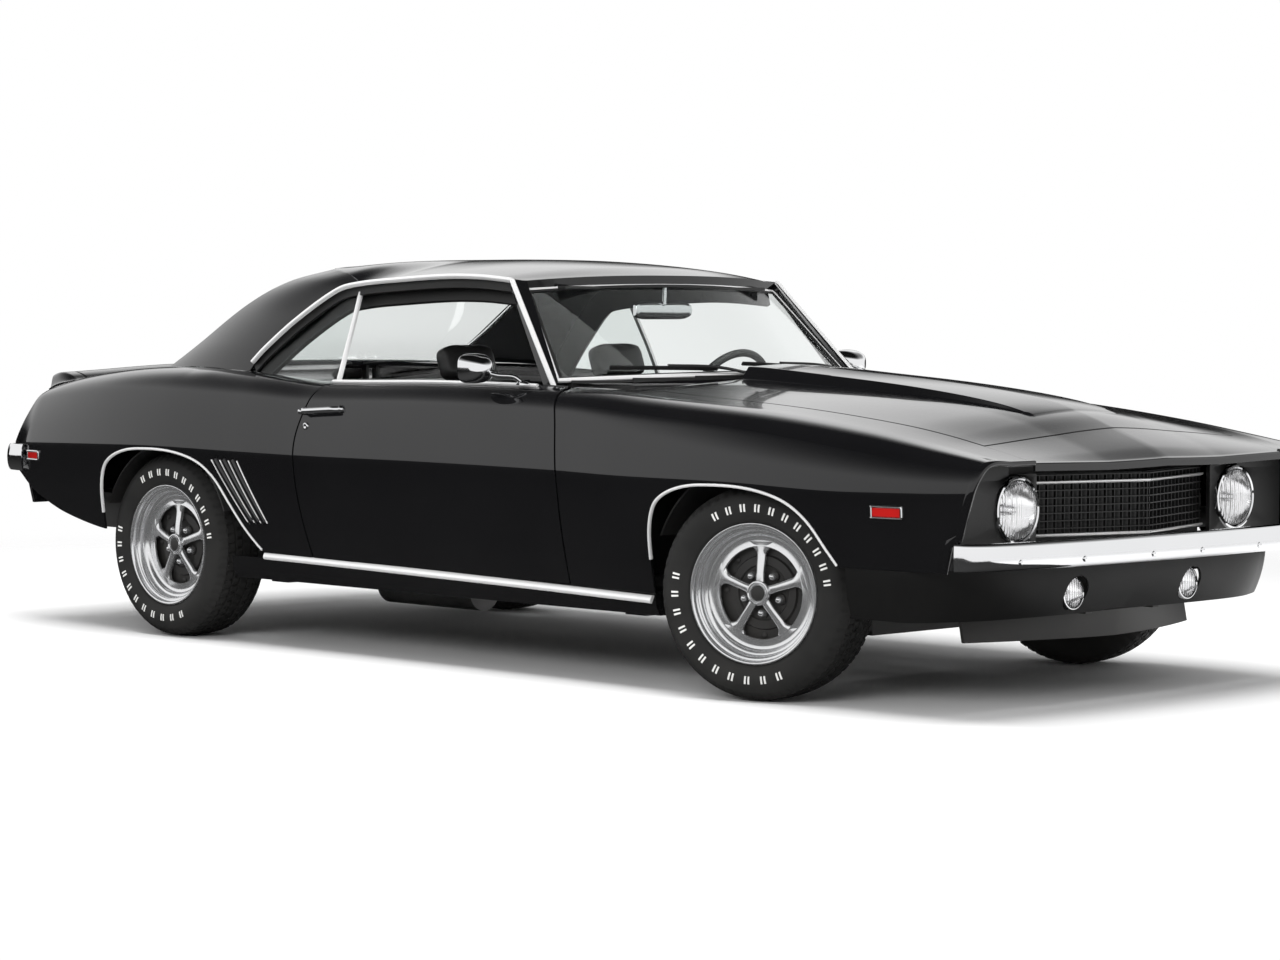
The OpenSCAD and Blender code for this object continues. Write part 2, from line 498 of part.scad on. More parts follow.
// Shelf below the rear window, the wall behind the rear seat and the deck lid's hinge pins
shelf_front_x = -1046;
shelf_rear_x = deck_pin_x - 14;
shelf_z = 868;
shelf_half_w = 618;
module parcel_shelf() color([0.05, 0.05, 0.05]) {
    translate([shelf_rear_x, -shelf_half_w, shelf_z]) cube([shelf_front_x - shelf_rear_x, 2 * shelf_half_w, 14]);
    translate([shelf_front_x - 14, -shelf_half_w, trunk_z + floor_t + 0.4])
        cube([14, 2 * shelf_half_w, shelf_z - trunk_z - floor_t]);
    both_sides() {
        for (side = [-1, 1]) translate([deck_pin_x - 12, deck_pin_y + side * (deck_eye_w / 2 + 9) - 6, shelf_z + 1])
            cube([24, 12, deck_pin_z - shelf_z + 9]);
        along_y(pin_r, deck_eye_w + 18, [deck_pin_x, deck_pin_y, deck_pin_z]);
    }
}

// Tail panel with its lamps, down to the valance below the bumper
tail_low_z = 430;
tail_t = 14;
tail_bow = 30;
tail_lean = 0.6;
tail_panel_x = tail_x - tail_bow;
function tail_top_z(y) =
    abs(y) > deck_half_w - 8 ? shoulder_z(quarter_top_x(tail_x)) - panel_t - 3 : top_z(deck_rear_x, y) - panel_t - shut_gap;
function tail_half_w(z) = side_y(tail_x, max(z, 545)) - panel_t - 0.6;
function tail_back_x(s, z) =
    tail_panel_x + tail_bow * s * s + tail_lean * (z - 650) * (z > 650 ? 1 : -0.6);
function tail_point(s, h, t) =
    let (z = mix(tail_low_z, tail_top_z(s * 760), h))
    [tail_back_x(s, z) + t, s * min(tail_half_w(z), half_w - 104), z];
TAIL_H = [0, 0.28, 0.56, 0.75, 0.9, 1];
TAIL_T = [1, 0.84, 0.82, 0.55, 0.3, 0, -0.3, -0.55, -0.82, -0.84, -1];
tail_lamp_z = 726;
tail_lamp_h = 84;
tail_lamp_w = 195;
tail_lamp_y = [330, 560];
module tail_panel() color([0.03, 0.03, 0.03]) {
    plate([for (h = TAIL_H) [for (s = TAIL_T) tail_point(-s, h, 0)]],
        [for (h = TAIL_H) [for (s = TAIL_T) tail_point(-s, h, tail_t)]]);
    both_sides() translate([rear_x + bumper_t + 15.2, 380, rear_bumper_z - 16])
        cube([tail_back_x(0.5, rear_bumper_z) - rear_x - bumper_t - 9, 40, 32]);
    difference() {
        along_y(20, 16, [tail_panel_x + 60, 0, 372]);
        along_y(11, 30, [tail_panel_x + 60, 0, 372]);
    }
    translate([tail_panel_x + 40, -8, 388]) cube([48, 16, 54]);
}
module tail_lamps() color([0.6, 0.04, 0.04]) both_sides() for (y = tail_lamp_y)
    let (x = tail_back_x((y - tail_lamp_w / 2) / 800, tail_lamp_z - tail_lamp_h / 2))
        translate([x - 15, y - tail_lamp_w / 2, tail_lamp_z - tail_lamp_h / 2])
            rotate([0, atan(tail_lean), 0]) cube([12, tail_lamp_w, tail_lamp_h * 1.1]);

// Doors, each with two hinge eyes on arms that reach ahead behind the fender
door_pin_x = 730;
door_pin_y = half_w - 70;
door_pin_z = [452, 690];
door_eye_h = 44;
door_arm_t = 14;
door_arm_y = door_pin_y - 68;
door_edge_in = 18;
door_front_in = 44;
door_shelf = 70;
DOOR_S = steps(0, 1, 8);
function door_x(s, z, in) = mix(door_rear(z) + gap + in, door_front(z) - gap - in * door_front_in / door_edge_in, s);
function door_rows(s) = row_heights(mix(-560, 640, s), door_bottom_z);
function door_outer(s) =
    let (zs = door_rows(s), n = len(zs), x = door_x(s, zs[n - 1], 0))
    concat([for (z = zs) let (x = door_x(s, z, 0)) [x, side_y(x, z), z]],
        [[x, shoulder_y(x) - door_shelf, zs[n - 1] + 4]]);
function door_inner(s) =
    let (zs = door_rows(s), n = len(zs), x = door_x(s, zs[n - 1], door_edge_in))
    concat([for (k = [0:n - 1]) let (z = zs[k], x = door_x(s, z, door_edge_in))
            [x, side_y(x, z) - door_t, z - (k == n - 1 ? 25 : 0)]],
        [[x, shoulder_y(x) - door_t, zs[n - 1]]]);
module door() {
    plate([for (s = DOOR_S) door_outer(s)], [for (s = DOOR_S) door_inner(s)]);
    for (z = door_pin_z) difference() {
        union() {
            translate([door_front(z) - 100, door_arm_y, z - door_eye_h / 2])
                cube([door_pin_x - door_front(z) + 108, door_arm_t, door_eye_h]);
            translate([door_pin_x - 8, door_arm_y, z - door_eye_h / 2])
                cube([16, door_pin_y - door_arm_y, door_eye_h]);
            translate([door_pin_x, door_pin_y, z - door_eye_h / 2]) cylinder(r = eye_r, h = door_eye_h);
        }
        translate([door_pin_x, door_pin_y, z - door_eye_h]) cylinder(r = pin_r + pin_play, h = 2 * door_eye_h);
    }
}
module door_left() color([0.03, 0.03, 0.03]) door();
module door_right() color([0.03, 0.03, 0.03]) mirror([0, 1, 0]) door();

// Door mirrors
mirror_x = 268;
mirror_y = half_w - 46;
mirror_z = 968;
mirror_foot_x = 430;
module mirror_pair() {
    foot = [mirror_foot_x, mirror_y - 72, shoulder_z(mirror_foot_x) + 2.8];
    translate([mirror_x, mirror_y, mirror_z]) rotate([0, 90, 0]) scale([0.72, 1, 1])
        cylinder(r1 = 62, r2 = 40, h = 76);
    hull() {
        translate([mirror_x + 50, mirror_y - 14, mirror_z - 14]) sphere(13, $fn = 16);
        translate(foot + [0, 0, 14]) sphere(11, $fn = 16);
    }
    translate(foot - [30, 15, 0]) cube([60, 30, 14]);
}
module mirror_left() color([0.85, 0.85, 0.87]) mirror_pair();
module mirror_right() color([0.85, 0.85, 0.87]) mirror([0, 1, 0]) mirror_pair();

// Windows. Each row of a pane runs from its lower to its upper edge.
function screen_point(s, h, t) =
    [mix(690 - 235 * s ^ 2, 284 - 84 * s ^ 2, h) - t, s * mix(roof_half_w + 63.3, roof_half_w - 39.6, h),
        mix(944 - 18 * s ^ 2, roof_h - 78.8 - 20 * s ^ 2, h)];
module windshield() color([0.6, 0.7, 0.7, 0.4])
    plate([for (h = steps(0, 1, 3)) [for (s = steps(-1, 1, 10)) screen_point(s, h, 0)]],
        [for (h = steps(0, 1, 3)) [for (s = steps(-1, 1, 10)) screen_point(s, h, glass_t)]]);
// Rear window. Columns: place of its edge along X, half width, height of its edge.
BACK = [[-801, roof_half_w - 116, roof_h - 34], [-970, roof_half_w - 76, roof_h - 76],
    [-1125, roof_half_w - 28, roof_h - 150], [-1362, roof_half_w, roof_h - 286],
    [filler_front_x - window_bow + 1, deck_half_w - 6, 945]];
function back_point(r, s, t) =
    [r[0] + window_bow * (1 - s * s), s * r[1], r[2] + 10 * (1 - s * s) - t];
module rear_window() color([0.6, 0.7, 0.7, 0.4])
    plate([for (r = BACK) [for (s = steps(1, -1, 10)) back_point(r, s, 0)]],
        [for (r = BACK) [for (s = steps(1, -1, 10)) back_point(r, s, glass_t)]]);
// Quarter window. Columns: height, front edge x, half width. Its rear edge follows the sail panel.
PANE = [[908, -525, roof_half_w + 139], [1010, -535, roof_half_w + 96], [roof_h - 197, -550, roof_half_w + 48],
    [roof_h - 109.5, -562, roof_half_w + 10]];
sail_foot_z = top_z(sail_foot_x, roof_half_w + 140) + sail_lift;
SAIL_X = [[sail_foot_z, sail_foot_x], [roof_h - 296, -925], [roof_h - 198, -800], [roof_h - 100, -651], [roof_h - 80, -560]];
function pane_point(r, s, t) = [mix(r[1], lookup(r[0], SAIL_X) + 1.2, s), r[2] - t, r[0]];
module quarter_glass() color([0.6, 0.7, 0.7, 0.4]) both_sides()
    plate([for (s = [0, 0.5, 1]) [for (r = PANE) pane_point(r, s, 0)]],
        [for (s = [0, 0.5, 1]) [for (r = PANE) pane_point(r, s, glass_t)]]);
wiper_x = 714;
wiper_up = 952;
ledge_z = 914;
// Wipers: half way across their pivots, and how far towards the right their blades begin and end
WIPER_Y = [-20, 450];
wiper_reach = [520, 160];
wiper_off = [26, 0, 10];
function blade_end(y, k) = screen_point((y - wiper_reach[k]) / (roof_half_w + 66), 0.06, 0) + wiper_off;
module wipers() color([0.2, 0.2, 0.2]) for (y = WIPER_Y) {
    rod([wiper_x, y, wiper_up - 2], (blade_end(y, 0) + blade_end(y, 1)) / 2, 5);
    rod(blade_end(y, 0), blade_end(y, 1), 6);
    translate([wiper_x, y, ledge_z + 0.4]) cylinder(r = 9, h = wiper_up - ledge_z + 4);
}

// Floor, rockers and the bulkhead that carries the hood's and the doors' hinge pins
floor_z = 250;
floor_t = 14;
floor_half_w = half_w - 234;
floor_front_x = 770;
kick_x = -920;
trunk_z = 452;
trunk_half_w = half_w - 312;
trunk_rear_x = tail_panel_x + 103.5;
module floor_pan() color([0.1, 0.1, 0.1]) {
    difference() {
        translate([kick_x, -floor_half_w, floor_z]) cube([floor_front_x - kick_x, 2 * floor_half_w, floor_t]);
        translate([kick_x - 1, -110, floor_z - 1]) cube([floor_front_x - kick_x + 2, 220, floor_t + 2]);
    }
    difference() {
        translate([kick_x, -124, floor_z]) cube([floor_front_x - kick_x, 248, 150]);
        translate([kick_x - 1, -110, floor_z - 1]) cube([floor_front_x - kick_x + 2, 220, 137]);
    }
    difference() {
        translate([kick_x - floor_t, -trunk_half_w, floor_z]) cube([floor_t, 2 * trunk_half_w, trunk_z - floor_z + floor_t]);
        translate([kick_x - floor_t - 1, -110, floor_z - 1]) cube([floor_t + 2, 220, 137]);
    }
    translate([trunk_rear_x, -trunk_half_w, trunk_z]) cube([kick_x - trunk_rear_x, 2 * trunk_half_w, floor_t]);
    both_sides() translate([tail_panel_x + 120, 470, 330])
        cube([rear_axle_x - 120 - tail_panel_x - 120, 60, trunk_z - 330]);
}
rocker_in_y = floor_half_w + 0.5;
rocker_top_z = door_bottom_z - 2;
rocker_rear_x = rear_axle_x + 356;
rocker_front_x = front_axle_x - 364;
module rockers() color([0.05, 0.05, 0.05]) both_sides() {
    translate([rocker_rear_x, 0, 0]) rotate([90, 0, 90]) linear_extrude(rocker_front_x - rocker_rear_x)
        polygon([[rocker_in_y, rocker_z], [half_w - 96, rocker_z], [half_w - 78, rocker_z + 30],
            [half_w - 74, rocker_top_z], [rocker_in_y, rocker_top_z]]);
    for (x = [rocker_rear_x + 160, rocker_front_x - 160]) translate([x - 45, rocker_in_y + 30, rocker_z - 12])
        cube([90, 50, 13]);
}
bulkhead_x = 772;
pillar_out_y = door_pin_y - 78;
module cowl() color([0.06, 0.06, 0.06]) {
    difference() {
        translate([bulkhead_x, -pillar_out_y, floor_z + floor_t + 0.4]) cube([14, 2 * pillar_out_y, 575]);
        translate([bulkhead_x - 1, -126, floor_z]) cube([16, 252, 151]);
        both_sides() translate([bulkhead_x - 1, floor_half_w, floor_z]) cube([16, half_w, rocker_top_z - floor_z + 0.4]);
    }
    translate([700, -roof_half_w - 52, 826]) cube([bulkhead_x - 700 + 1, 2 * roof_half_w + 104, 14]);
    translate([0, 0, ledge_z - 10]) linear_extrude(10) polygon(concat(
        [for (s = steps(-1, 1, 10)) [screen_point(s, 0, 0)[0] - 4, s * (roof_half_w + 12)]],
        [[ledge_front_x, roof_half_w + 12], [ledge_front_x, -roof_half_w - 12]]));
    for (r = SCREEN_BASE) translate([0, 0, ledge_z - 8]) linear_extrude(r[1] - ledge_z + 8) polygon(concat(
        [for (s = steps(-r[0], r[0], 10)) let (p = screen_point(s, 0, 0)) [p[0] + 12, p[1]]],
        [for (s = steps(r[0], -r[0], 10)) let (p = screen_point(s, 0, 0)) [p[0] - 9, p[1]]]));
    translate([ledge_front_x - 10, -roof_half_w - 12, 838]) cube([10, 2 * roof_half_w + 24, ledge_z - 843]);
    both_sides() {
        translate([706, pillar_out_y - 60, rocker_top_z + 0.4]) cube([68, 60, 840 - rocker_top_z]);
        translate([430, roof_half_w + 46, 836]) cube([165, 62, 60.4]);
        translate([590, roof_half_w + 46, 836]) cube([184, 62, 44]);
        for (z = door_pin_z) {
            for (side = [-1, 1]) translate([door_pin_x - 12, pillar_out_y - 1, z + side * (door_eye_h / 2 + 9) - 6])
                cube([46, door_pin_y - pillar_out_y + 12, 12]);
            translate([door_pin_x, door_pin_y, z - door_eye_h / 2 - 9]) cylinder(r = pin_r, h = door_eye_h + 18);
        }
        for (side = [-1, 1]) translate([hood_pin_x - 12, hood_pin_y + side * (hood_eye_w / 2 + 9) - 6, 830])
            cube([24, 12, hood_pin_z - 830 + 10]);
        along_y(pin_r, hood_eye_w + 18, [hood_pin_x, hood_pin_y, hood_pin_z]);
    }
}
// A level ledge ahead of the windshield carries the wipers and drops behind the hood.
// The windshield stands on a stepped base. Columns: share of the half width, height.
ledge_front_x = 744;
SCREEN_BASE = [[0.955, 926.6], [0.7, 934.4], [0.4, 940.4]];

// Seats, dash and steering
seat_x = -60;
seat_y = 360;
seat_w = 456;
module seat() {
    translate([seat_x - 10, seat_y - seat_w / 2, 330]) cube([500, seat_w, 150]);
    translate([seat_x, seat_y - seat_w / 2, 400]) rotate([0, -20, 0]) translate([-120, 0, 0]) {
        cube([120, seat_w, 520]);
        translate([40, seat_w / 2 - 20, 500]) cube([16, 40, 80]);
        translate([20, seat_w / 2 - 120, 560]) cube([75, 240, 130]);
    }
    translate([seat_x + 20, seat_y - 180, floor_z + floor_t]) cube([400, 360, 70]);
}
module seats() color([0.08, 0.08, 0.08]) {
    both_sides() seat();
    both_sides() translate([-880, 128, floor_z + floor_t]) cube([440, 472, 140]);
    translate([-880, -600, 400.5]) cube([440, 1200, 80]);
    translate([-880, -600, 450]) rotate([0, -18, 0]) translate([-20, 0, 0]) cube([110, 1200, 440]);
}
dash_half_w = roof_half_w + 40;
module dashboard() color([0.08, 0.08, 0.08]) {
    translate([400, -dash_half_w, 700]) cube([bulkhead_x - 400.4, 2 * dash_half_w, 110]);
    translate([430, -dash_half_w, 790]) cube([170, 2 * dash_half_w, 70]);
}
wheel_tilt = 24;
rim_at = [190, 370, 830];
column_len = 194.2;
module on_column() translate(rim_at) rotate([0, 90 + wheel_tilt, 0]) children();
module steering_column() color([0.1, 0.1, 0.1]) on_column() translate([0, 0, 22]) {
    cylinder(r = 30, h = column_len);
    translate([0, 0, -33]) cylinder(r = 12, h = 39);
}
module steering_wheel() color([0.06, 0.06, 0.06]) on_column() difference() {
    union() {
        rotate_extrude() translate([188, 0]) circle(14, $fn = 24);
        translate([0, 0, -14]) cylinder(r = 46, h = 28);
        for (a = [0, 120, 240]) rotate([0, 0, a]) translate([40, -16, -6]) cube([140, 32, 12]);
    }
    translate([0, 0, -12]) cylinder(r = 12 + pin_play, h = 40);
}
module inner_mirror() color([0.5, 0.5, 0.52]) {
    translate([232, -120, roof_h - 194]) cube([22, 240, 56]);
    translate([240, -9, roof_h - 146]) cube([18, 18, 73.4]);
}

// Drive line and suspension
kingpin_y = track / 2 - 22;
wheel_y = track / 2 + 14;
arm_low_z = axle_z - 112;
arm_high_z = axle_z + 112;
kingpin_r = 14;
rest_steer = 15;
rail_y = 390;
module engine() color([0.3, 0.3, 0.32]) {
    translate([1090, -250, 330]) cube([520, 500, 420]);
    translate([790, -95, 300]) cube([310, 190, 200]);
    translate([340, -90, 285]) cube([455, 180, 95]);
    translate([front_axle_x - 120, -120, 263.5]) cube([200, 240, 70]);
}
module front_subframe() color([0.07, 0.07, 0.07]) {
    both_sides() {
        translate([790, rail_y - 35, 262]) cube([1206, 70, 90]);
        translate([790, rail_y - 35, 264]) cube([40, 280, 60]);
    }
    translate([front_axle_x - 90, -rail_y, 170]) cube([180, 2 * rail_y, 93]);
    translate([1980, -rail_y - 36, 284]) cube([100, 2 * rail_y + 72, 78]);
    translate([2040, -radiator_half_w, 361]) cube([40, 2 * radiator_half_w, 385]);
    translate([2040, -790, 490]) cube([40, 1580, 60]);
    both_sides() {
        translate([2079, 700, 500]) cube([bezel_x - 2079.4, 80, 40]);
        translate([2079, 410, 560]) cube([grille_end_x - 2079 + 0.4, 8, 40]);
        translate([2079, 380, 440]) cube([front_x - bumper_t - 14.6 - 2079, 40, 28]);
        translate([2079, 585, 490]) cube([55, 20, 30]);
        translate([2120, 585, 490]) cube([14, 20, top_z(2127, 597) - 13.6 - 490]);
    }
}
radiator_half_w = 484;
module wheel_houses() color([0.05, 0.05, 0.05]) both_sides() {
    translate([bulkhead_x + 14.4, house_in_y - 6, 474]) cube([2039.6 - bulkhead_x - 14.4, 6, 286]);
    half_ring(front_axle_x, house_in_y - 1, 866, front_house_r, 474);
    translate([rear_axle_x - rear_house_r + 60, trunk_half_w + 0.4, trunk_z])
        cube([2 * rear_house_r - 120, 6, axle_z + rear_house_r - trunk_z - 30]);
    half_ring(rear_axle_x, trunk_half_w + 1, half_w - 64, rear_house_r, trunk_z);
}
house_in_y = 484;
front_house_r = tyre_d / 2 + 58;
rear_house_r = tyre_d / 2 + 32;
module half_ring(x, y0, y1, r, low) difference() {
    translate([x, y0, axle_z]) rotate([-90, 0, 0]) difference() {
        cylinder(r = r, h = y1 - y0, $fn = 72);
        translate([0, 0, -1]) cylinder(r = r - 6, h = y1 - y0 + 2, $fn = 72);
    }
    translate([x - r - 1, y0 - 1, axle_z - r - 1]) cube([2 * r + 2, y1 - y0 + 2, low - axle_z + r + 1]);
}
module arm(z, reach) difference() {
    union() {
        linear_extrude(24) polygon([[front_axle_x - 90, reach], [front_axle_x + 90, reach],
            [front_axle_x + 22, kingpin_y], [front_axle_x - 22, kingpin_y]]);
        translate([front_axle_x, kingpin_y, 0]) cylinder(r = 26, h = 24);
    }
    translate([front_axle_x, kingpin_y, -1]) cylinder(r = kingpin_r + pin_play, h = 26);
}
module control_arms() color([0.12, 0.12, 0.12]) both_sides() {
    translate([0, 0, arm_low_z - 24]) arm(0, rail_y + 0.4);
    translate([0, 0, arm_high_z]) arm(0, rail_y + 0.4);
    translate([front_axle_x - 88, rail_y - 35, 352.5]) cube([176, 34.9, arm_high_z + 24 - 352.5]);
}
module steered(side) translate([front_axle_x, side * kingpin_y, 0]) rotate([0, 0, rest_steer]) children();
module knuckle(side) steered(side) {
    translate([0, 0, arm_low_z - 22]) cylinder(r = kingpin_r, h = arm_high_z - arm_low_z + 44);
    translate([-24, -24, arm_low_z + 3]) cube([48, 48, arm_high_z - arm_low_z - 6]);
    translate([0, 0, axle_z]) rotate([-90 * side, 0, 0]) {
        cylinder(r = spindle_r, h = 96);
        cylinder(r = 60, h = 34);
    }
}
module knuckle_left() color([0.15, 0.15, 0.15]) knuckle(1);
module knuckle_right() color([0.15, 0.15, 0.15]) knuckle(-1);
module rear_axle() color([0.1, 0.1, 0.1]) {
    along_y(45, 2 * (wheel_y - 92), [rear_axle_x, 0, axle_z]);
    along_y(spindle_r, 2 * (wheel_y + 60), [rear_axle_x, 0, axle_z]);
    translate([rear_axle_x, 0, axle_z]) sphere(130);
    both_sides() translate([rear_axle_x - 45, 470, axle_z - 72]) cube([90, 60, 50]);
}
module leaf_springs() color([0.1, 0.1, 0.1]) both_sides()
    translate([0, 470.5, 0]) rotate([90, 0, 0]) mirror([0, 0, 1]) linear_extrude(59)
        polygon([[rear_axle_x - 640, 329.5], [rear_axle_x - 600, 329.5], [rear_axle_x - 60, axle_z - 72.5],
            [rear_axle_x + 60, axle_z - 72.5], [rear_axle_x + 380, 249.5], [rear_axle_x + 420, 249.5],
            [rear_axle_x + 420, 232], [rear_axle_x + 60, axle_z - 90], [rear_axle_x - 60, axle_z - 90],
            [rear_axle_x - 640, 312]]);
module driveshaft() color([0.2, 0.2, 0.2])
    along_x(38, 339.5 - rear_axle_x - 130.5, [(339.5 + rear_axle_x + 130.5) / 2, 0, 325]);
module exhaust() color([0.35, 0.35, 0.36]) both_sides() {
    along_x(28, 1650, [300, 210, 205]);
    along_x(70, 480, [-640, 210, 179.4]);
}
module fuel_tank() color([0.25, 0.25, 0.26]) translate([rear_axle_x - 760, -390, 262]) cube([420, 780, 189.5]);

// Wheels and tyres, turned about the Y axis with their outer face towards +Y
rim_r = tyre_d * rim_share / 2;
bead_r = rim_r - 18;
disc_out = 62;
hub_r = 66;
module tyre() rotate([-90, 0, 0]) rotate_extrude($fn = 96) polygon([[bead_r + 0.3, -rim_w / 2 + 14], [rim_r + 12, -rim_w / 2 + 3],
    [rim_r + 42, -tyre_w / 2], [tyre_d / 2 - 34, -tyre_w / 2 + 3], [tyre_d / 2 - 10, -tyre_w / 2 + 14],
    [tyre_d / 2, -tyre_w / 2 + 34], [tyre_d / 2, tyre_w / 2 - 34], [tyre_d / 2 - 10, tyre_w / 2 - 14],
    [tyre_d / 2 - 34, tyre_w / 2 - 3], [rim_r + 42, tyre_w / 2], [rim_r + 12, rim_w / 2 - 3], [bead_r + 0.3, rim_w / 2 - 14]]);
module wheel() difference() {
    union() {
        rotate([-90, 0, 0]) rotate_extrude($fn = 96) polygon([[rim_r, -rim_w / 2], [rim_r, -rim_w / 2 + 7], [bead_r, -rim_w / 2 + 13],
            [bead_r, rim_w / 2 - 13], [rim_r, rim_w / 2 - 7], [rim_r, rim_w / 2], [rim_r - 9, rim_w / 2],
            [bead_r - 10, rim_w / 2 - 18], [bead_r - 22, 40], [bead_r - 22, -60], [bead_r - 12, -rim_w / 2 + 10],
            [rim_r - 9, -rim_w / 2]]);
        for (a = [0:spoke_count - 1]) rotate([0, 90 + a * 360 / spoke_count, 0])
            translate([hub_r - 12, disc_out - 40, -34]) cube([bead_r - hub_r - 4, 40, 68]);
        translate([0, disc_out - 58, 0]) rotate([-90, 0, 0]) cylinder(r = hub_r, h = 66);
    }
    rotate([90, 0, 0]) cylinder(r = spindle_r + spindle_play, h = 4 * rim_w, center = true);
}
module on_rear(side) translate([rear_axle_x, side * wheel_y, axle_z]) rotate([0, 0, side > 0 ? 0 : 180]) children();
module on_front(side) steered(side) translate([0, side * (wheel_y - kingpin_y), axle_z])
    rotate([0, 0, side > 0 ? 0 : 180]) children();
module wheel_front_left() color([0.8, 0.8, 0.82]) on_front(1) wheel();
module wheel_front_right() color([0.8, 0.8, 0.82]) on_front(-1) wheel();
module wheel_rear_left() color([0.8, 0.8, 0.82]) on_rear(1) wheel();
module wheel_rear_right() color([0.8, 0.8, 0.82]) on_rear(-1) wheel();
module tyre_front_left() color([0.05, 0.05, 0.05]) on_front(1) tyre();
module tyre_front_right() color([0.05, 0.05, 0.05]) on_front(-1) tyre();
module tyre_rear_left() color([0.05, 0.05, 0.05]) on_rear(1) tyre();
module tyre_rear_right() color([0.05, 0.05, 0.05]) on_rear(-1) tyre();

floor_pan();
rockers();
cowl();
front_fenders();
hood();
nose();
headlamp_bezels();
grille();
front_lamps();
front_bumper();
front_valance();
quarter_panels();
roof();
deck_lid();
parcel_shelf();
tail_panel();
tail_lamps();
rear_bumper();
door_left();
door_right();
mirror_left();
mirror_right();
windshield();
rear_window();
quarter_glass();
wipers();
seats();
dashboard();
steering_column();
steering_wheel();
inner_mirror();
engine();
front_subframe();
wheel_houses();
control_arms();
knuckle_left();
knuckle_right();
rear_axle();
leaf_springs();
driveshaft();
exhaust();
fuel_tank();
wheel_front_left();
wheel_front_right();
wheel_rear_left();
wheel_rear_right();
tyre_front_left();
tyre_front_right();
tyre_rear_left();
tyre_rear_right();
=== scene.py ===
# %% [markdown]
# # Dressing a two-door hardtop coupe
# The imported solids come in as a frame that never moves: they give the size of every panel and the hinges.
# Each visible panel is then made again as a fine surface from the same few curves that shaped its solid,
# because sheet metal in black gloss shows every facet. All sizes below are millimetres, as on a drawing;
# one helper turns them into metres when a mesh is made.

# %% Load the frame
import json
import math
import bpy
import numpy as np
from mathutils import Matrix


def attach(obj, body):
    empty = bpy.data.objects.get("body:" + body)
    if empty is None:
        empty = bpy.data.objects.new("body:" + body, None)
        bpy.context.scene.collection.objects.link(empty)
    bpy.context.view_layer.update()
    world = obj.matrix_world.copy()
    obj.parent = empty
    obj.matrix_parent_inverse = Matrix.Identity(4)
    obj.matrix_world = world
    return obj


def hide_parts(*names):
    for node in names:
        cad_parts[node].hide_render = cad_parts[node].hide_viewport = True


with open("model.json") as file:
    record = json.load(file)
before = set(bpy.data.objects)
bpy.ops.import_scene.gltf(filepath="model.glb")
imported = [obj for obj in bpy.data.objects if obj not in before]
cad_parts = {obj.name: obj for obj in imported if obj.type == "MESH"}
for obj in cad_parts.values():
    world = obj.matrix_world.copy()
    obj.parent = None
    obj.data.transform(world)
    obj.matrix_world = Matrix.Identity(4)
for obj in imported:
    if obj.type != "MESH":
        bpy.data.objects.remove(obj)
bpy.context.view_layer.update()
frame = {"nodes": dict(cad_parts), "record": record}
SCENE = bpy.context.scene
SCENE.view_settings.view_transform = "Standard"

# %% [markdown]
# ## Camera
# The view was solved from the wheel centres, the body's edges and the lamps: a long lens, low and far away.
# A camera looks along its own -Z, so its matrix has the picture's right and up and the way back as columns.

# %% Camera at the picture's place
def look(place, yaw, pitch, roll):
    """Camera matrix: back from yaw and pitch, right level and square to it, then both turned by the roll."""
    y, p, r = map(math.radians, (yaw, pitch, roll))
    back = np.array([math.sin(y) * math.cos(p), -math.cos(y) * math.cos(p), math.sin(p)])
    level = np.array([math.cos(y), math.sin(y), 0.0])
    high = np.cross(back, level)
    right = level * math.cos(r) + high * math.sin(r)
    up = high * math.cos(r) - level * math.sin(r)
    m = np.eye(4)
    m[:3, 0], m[:3, 1], m[:3, 2], m[:3, 3] = right, up, back, place
    return Matrix(m.tolist())


FOCAL_PX, PICTURE_W, SENSOR_MM = 3528.3, 1280, 36.0
camera = bpy.data.objects.new("camera", bpy.data.cameras.new("camera"))
SCENE.collection.objects.link(camera)
camera.data.sensor_fit, camera.data.sensor_width = "HORIZONTAL", SENSOR_MM
camera.data.lens = FOCAL_PX / PICTURE_W * SENSOR_MM
camera.data.clip_end = 200.0
camera.matrix_world = look((8.481, -8.468, 1.185), 44.563, 2.938, 0.281)
SCENE.camera = camera
print("lens in mm:", round(camera.data.lens, 1))

# %% [markdown]
# ## Studio
# Black gloss paint is seen through what it mirrors. A white surround stands for the paper backdrop, one wide
# soft lamp hangs overhead and one fills from the camera's side. A dark cloth on the floor, a dark ceiling and a low
# dark wall behind the car are there for mirror rays only: they keep the lower flanks and the roof black and leave
# a bright band for the hood.

# %% Surround, lamps and floor
def link(tree, a, b):
    tree.links.new(a, b)


world = bpy.data.worlds.new("paper_surround")
SCENE.world = world
world.use_nodes = True
wt = world.node_tree
rays = wt.nodes.new("ShaderNodeLightPath")
seen = wt.nodes.new("ShaderNodeMath")
seen.operation = "ADD"
seen.use_clamp = True
clear = wt.nodes.new("ShaderNodeMath")
clear.operation = "ADD"
clear.use_clamp = True
level = wt.nodes.new("ShaderNodeMapRange")
level.inputs["To Min"].default_value, level.inputs["To Max"].default_value = 0.5, 1.0
link(wt, rays.outputs["Is Camera Ray"], seen.inputs[0])
link(wt, rays.outputs["Is Glossy Ray"], seen.inputs[1])
link(wt, seen.outputs[0], clear.inputs[0])
link(wt, rays.outputs["Is Transmission Ray"], clear.inputs[1])
link(wt, clear.outputs[0], level.inputs["Value"])
link(wt, level.outputs["Result"], wt.nodes["Background"].inputs["Strength"])
wt.nodes["Background"].inputs["Color"].default_value = (1.0, 1.0, 1.0, 1.0)


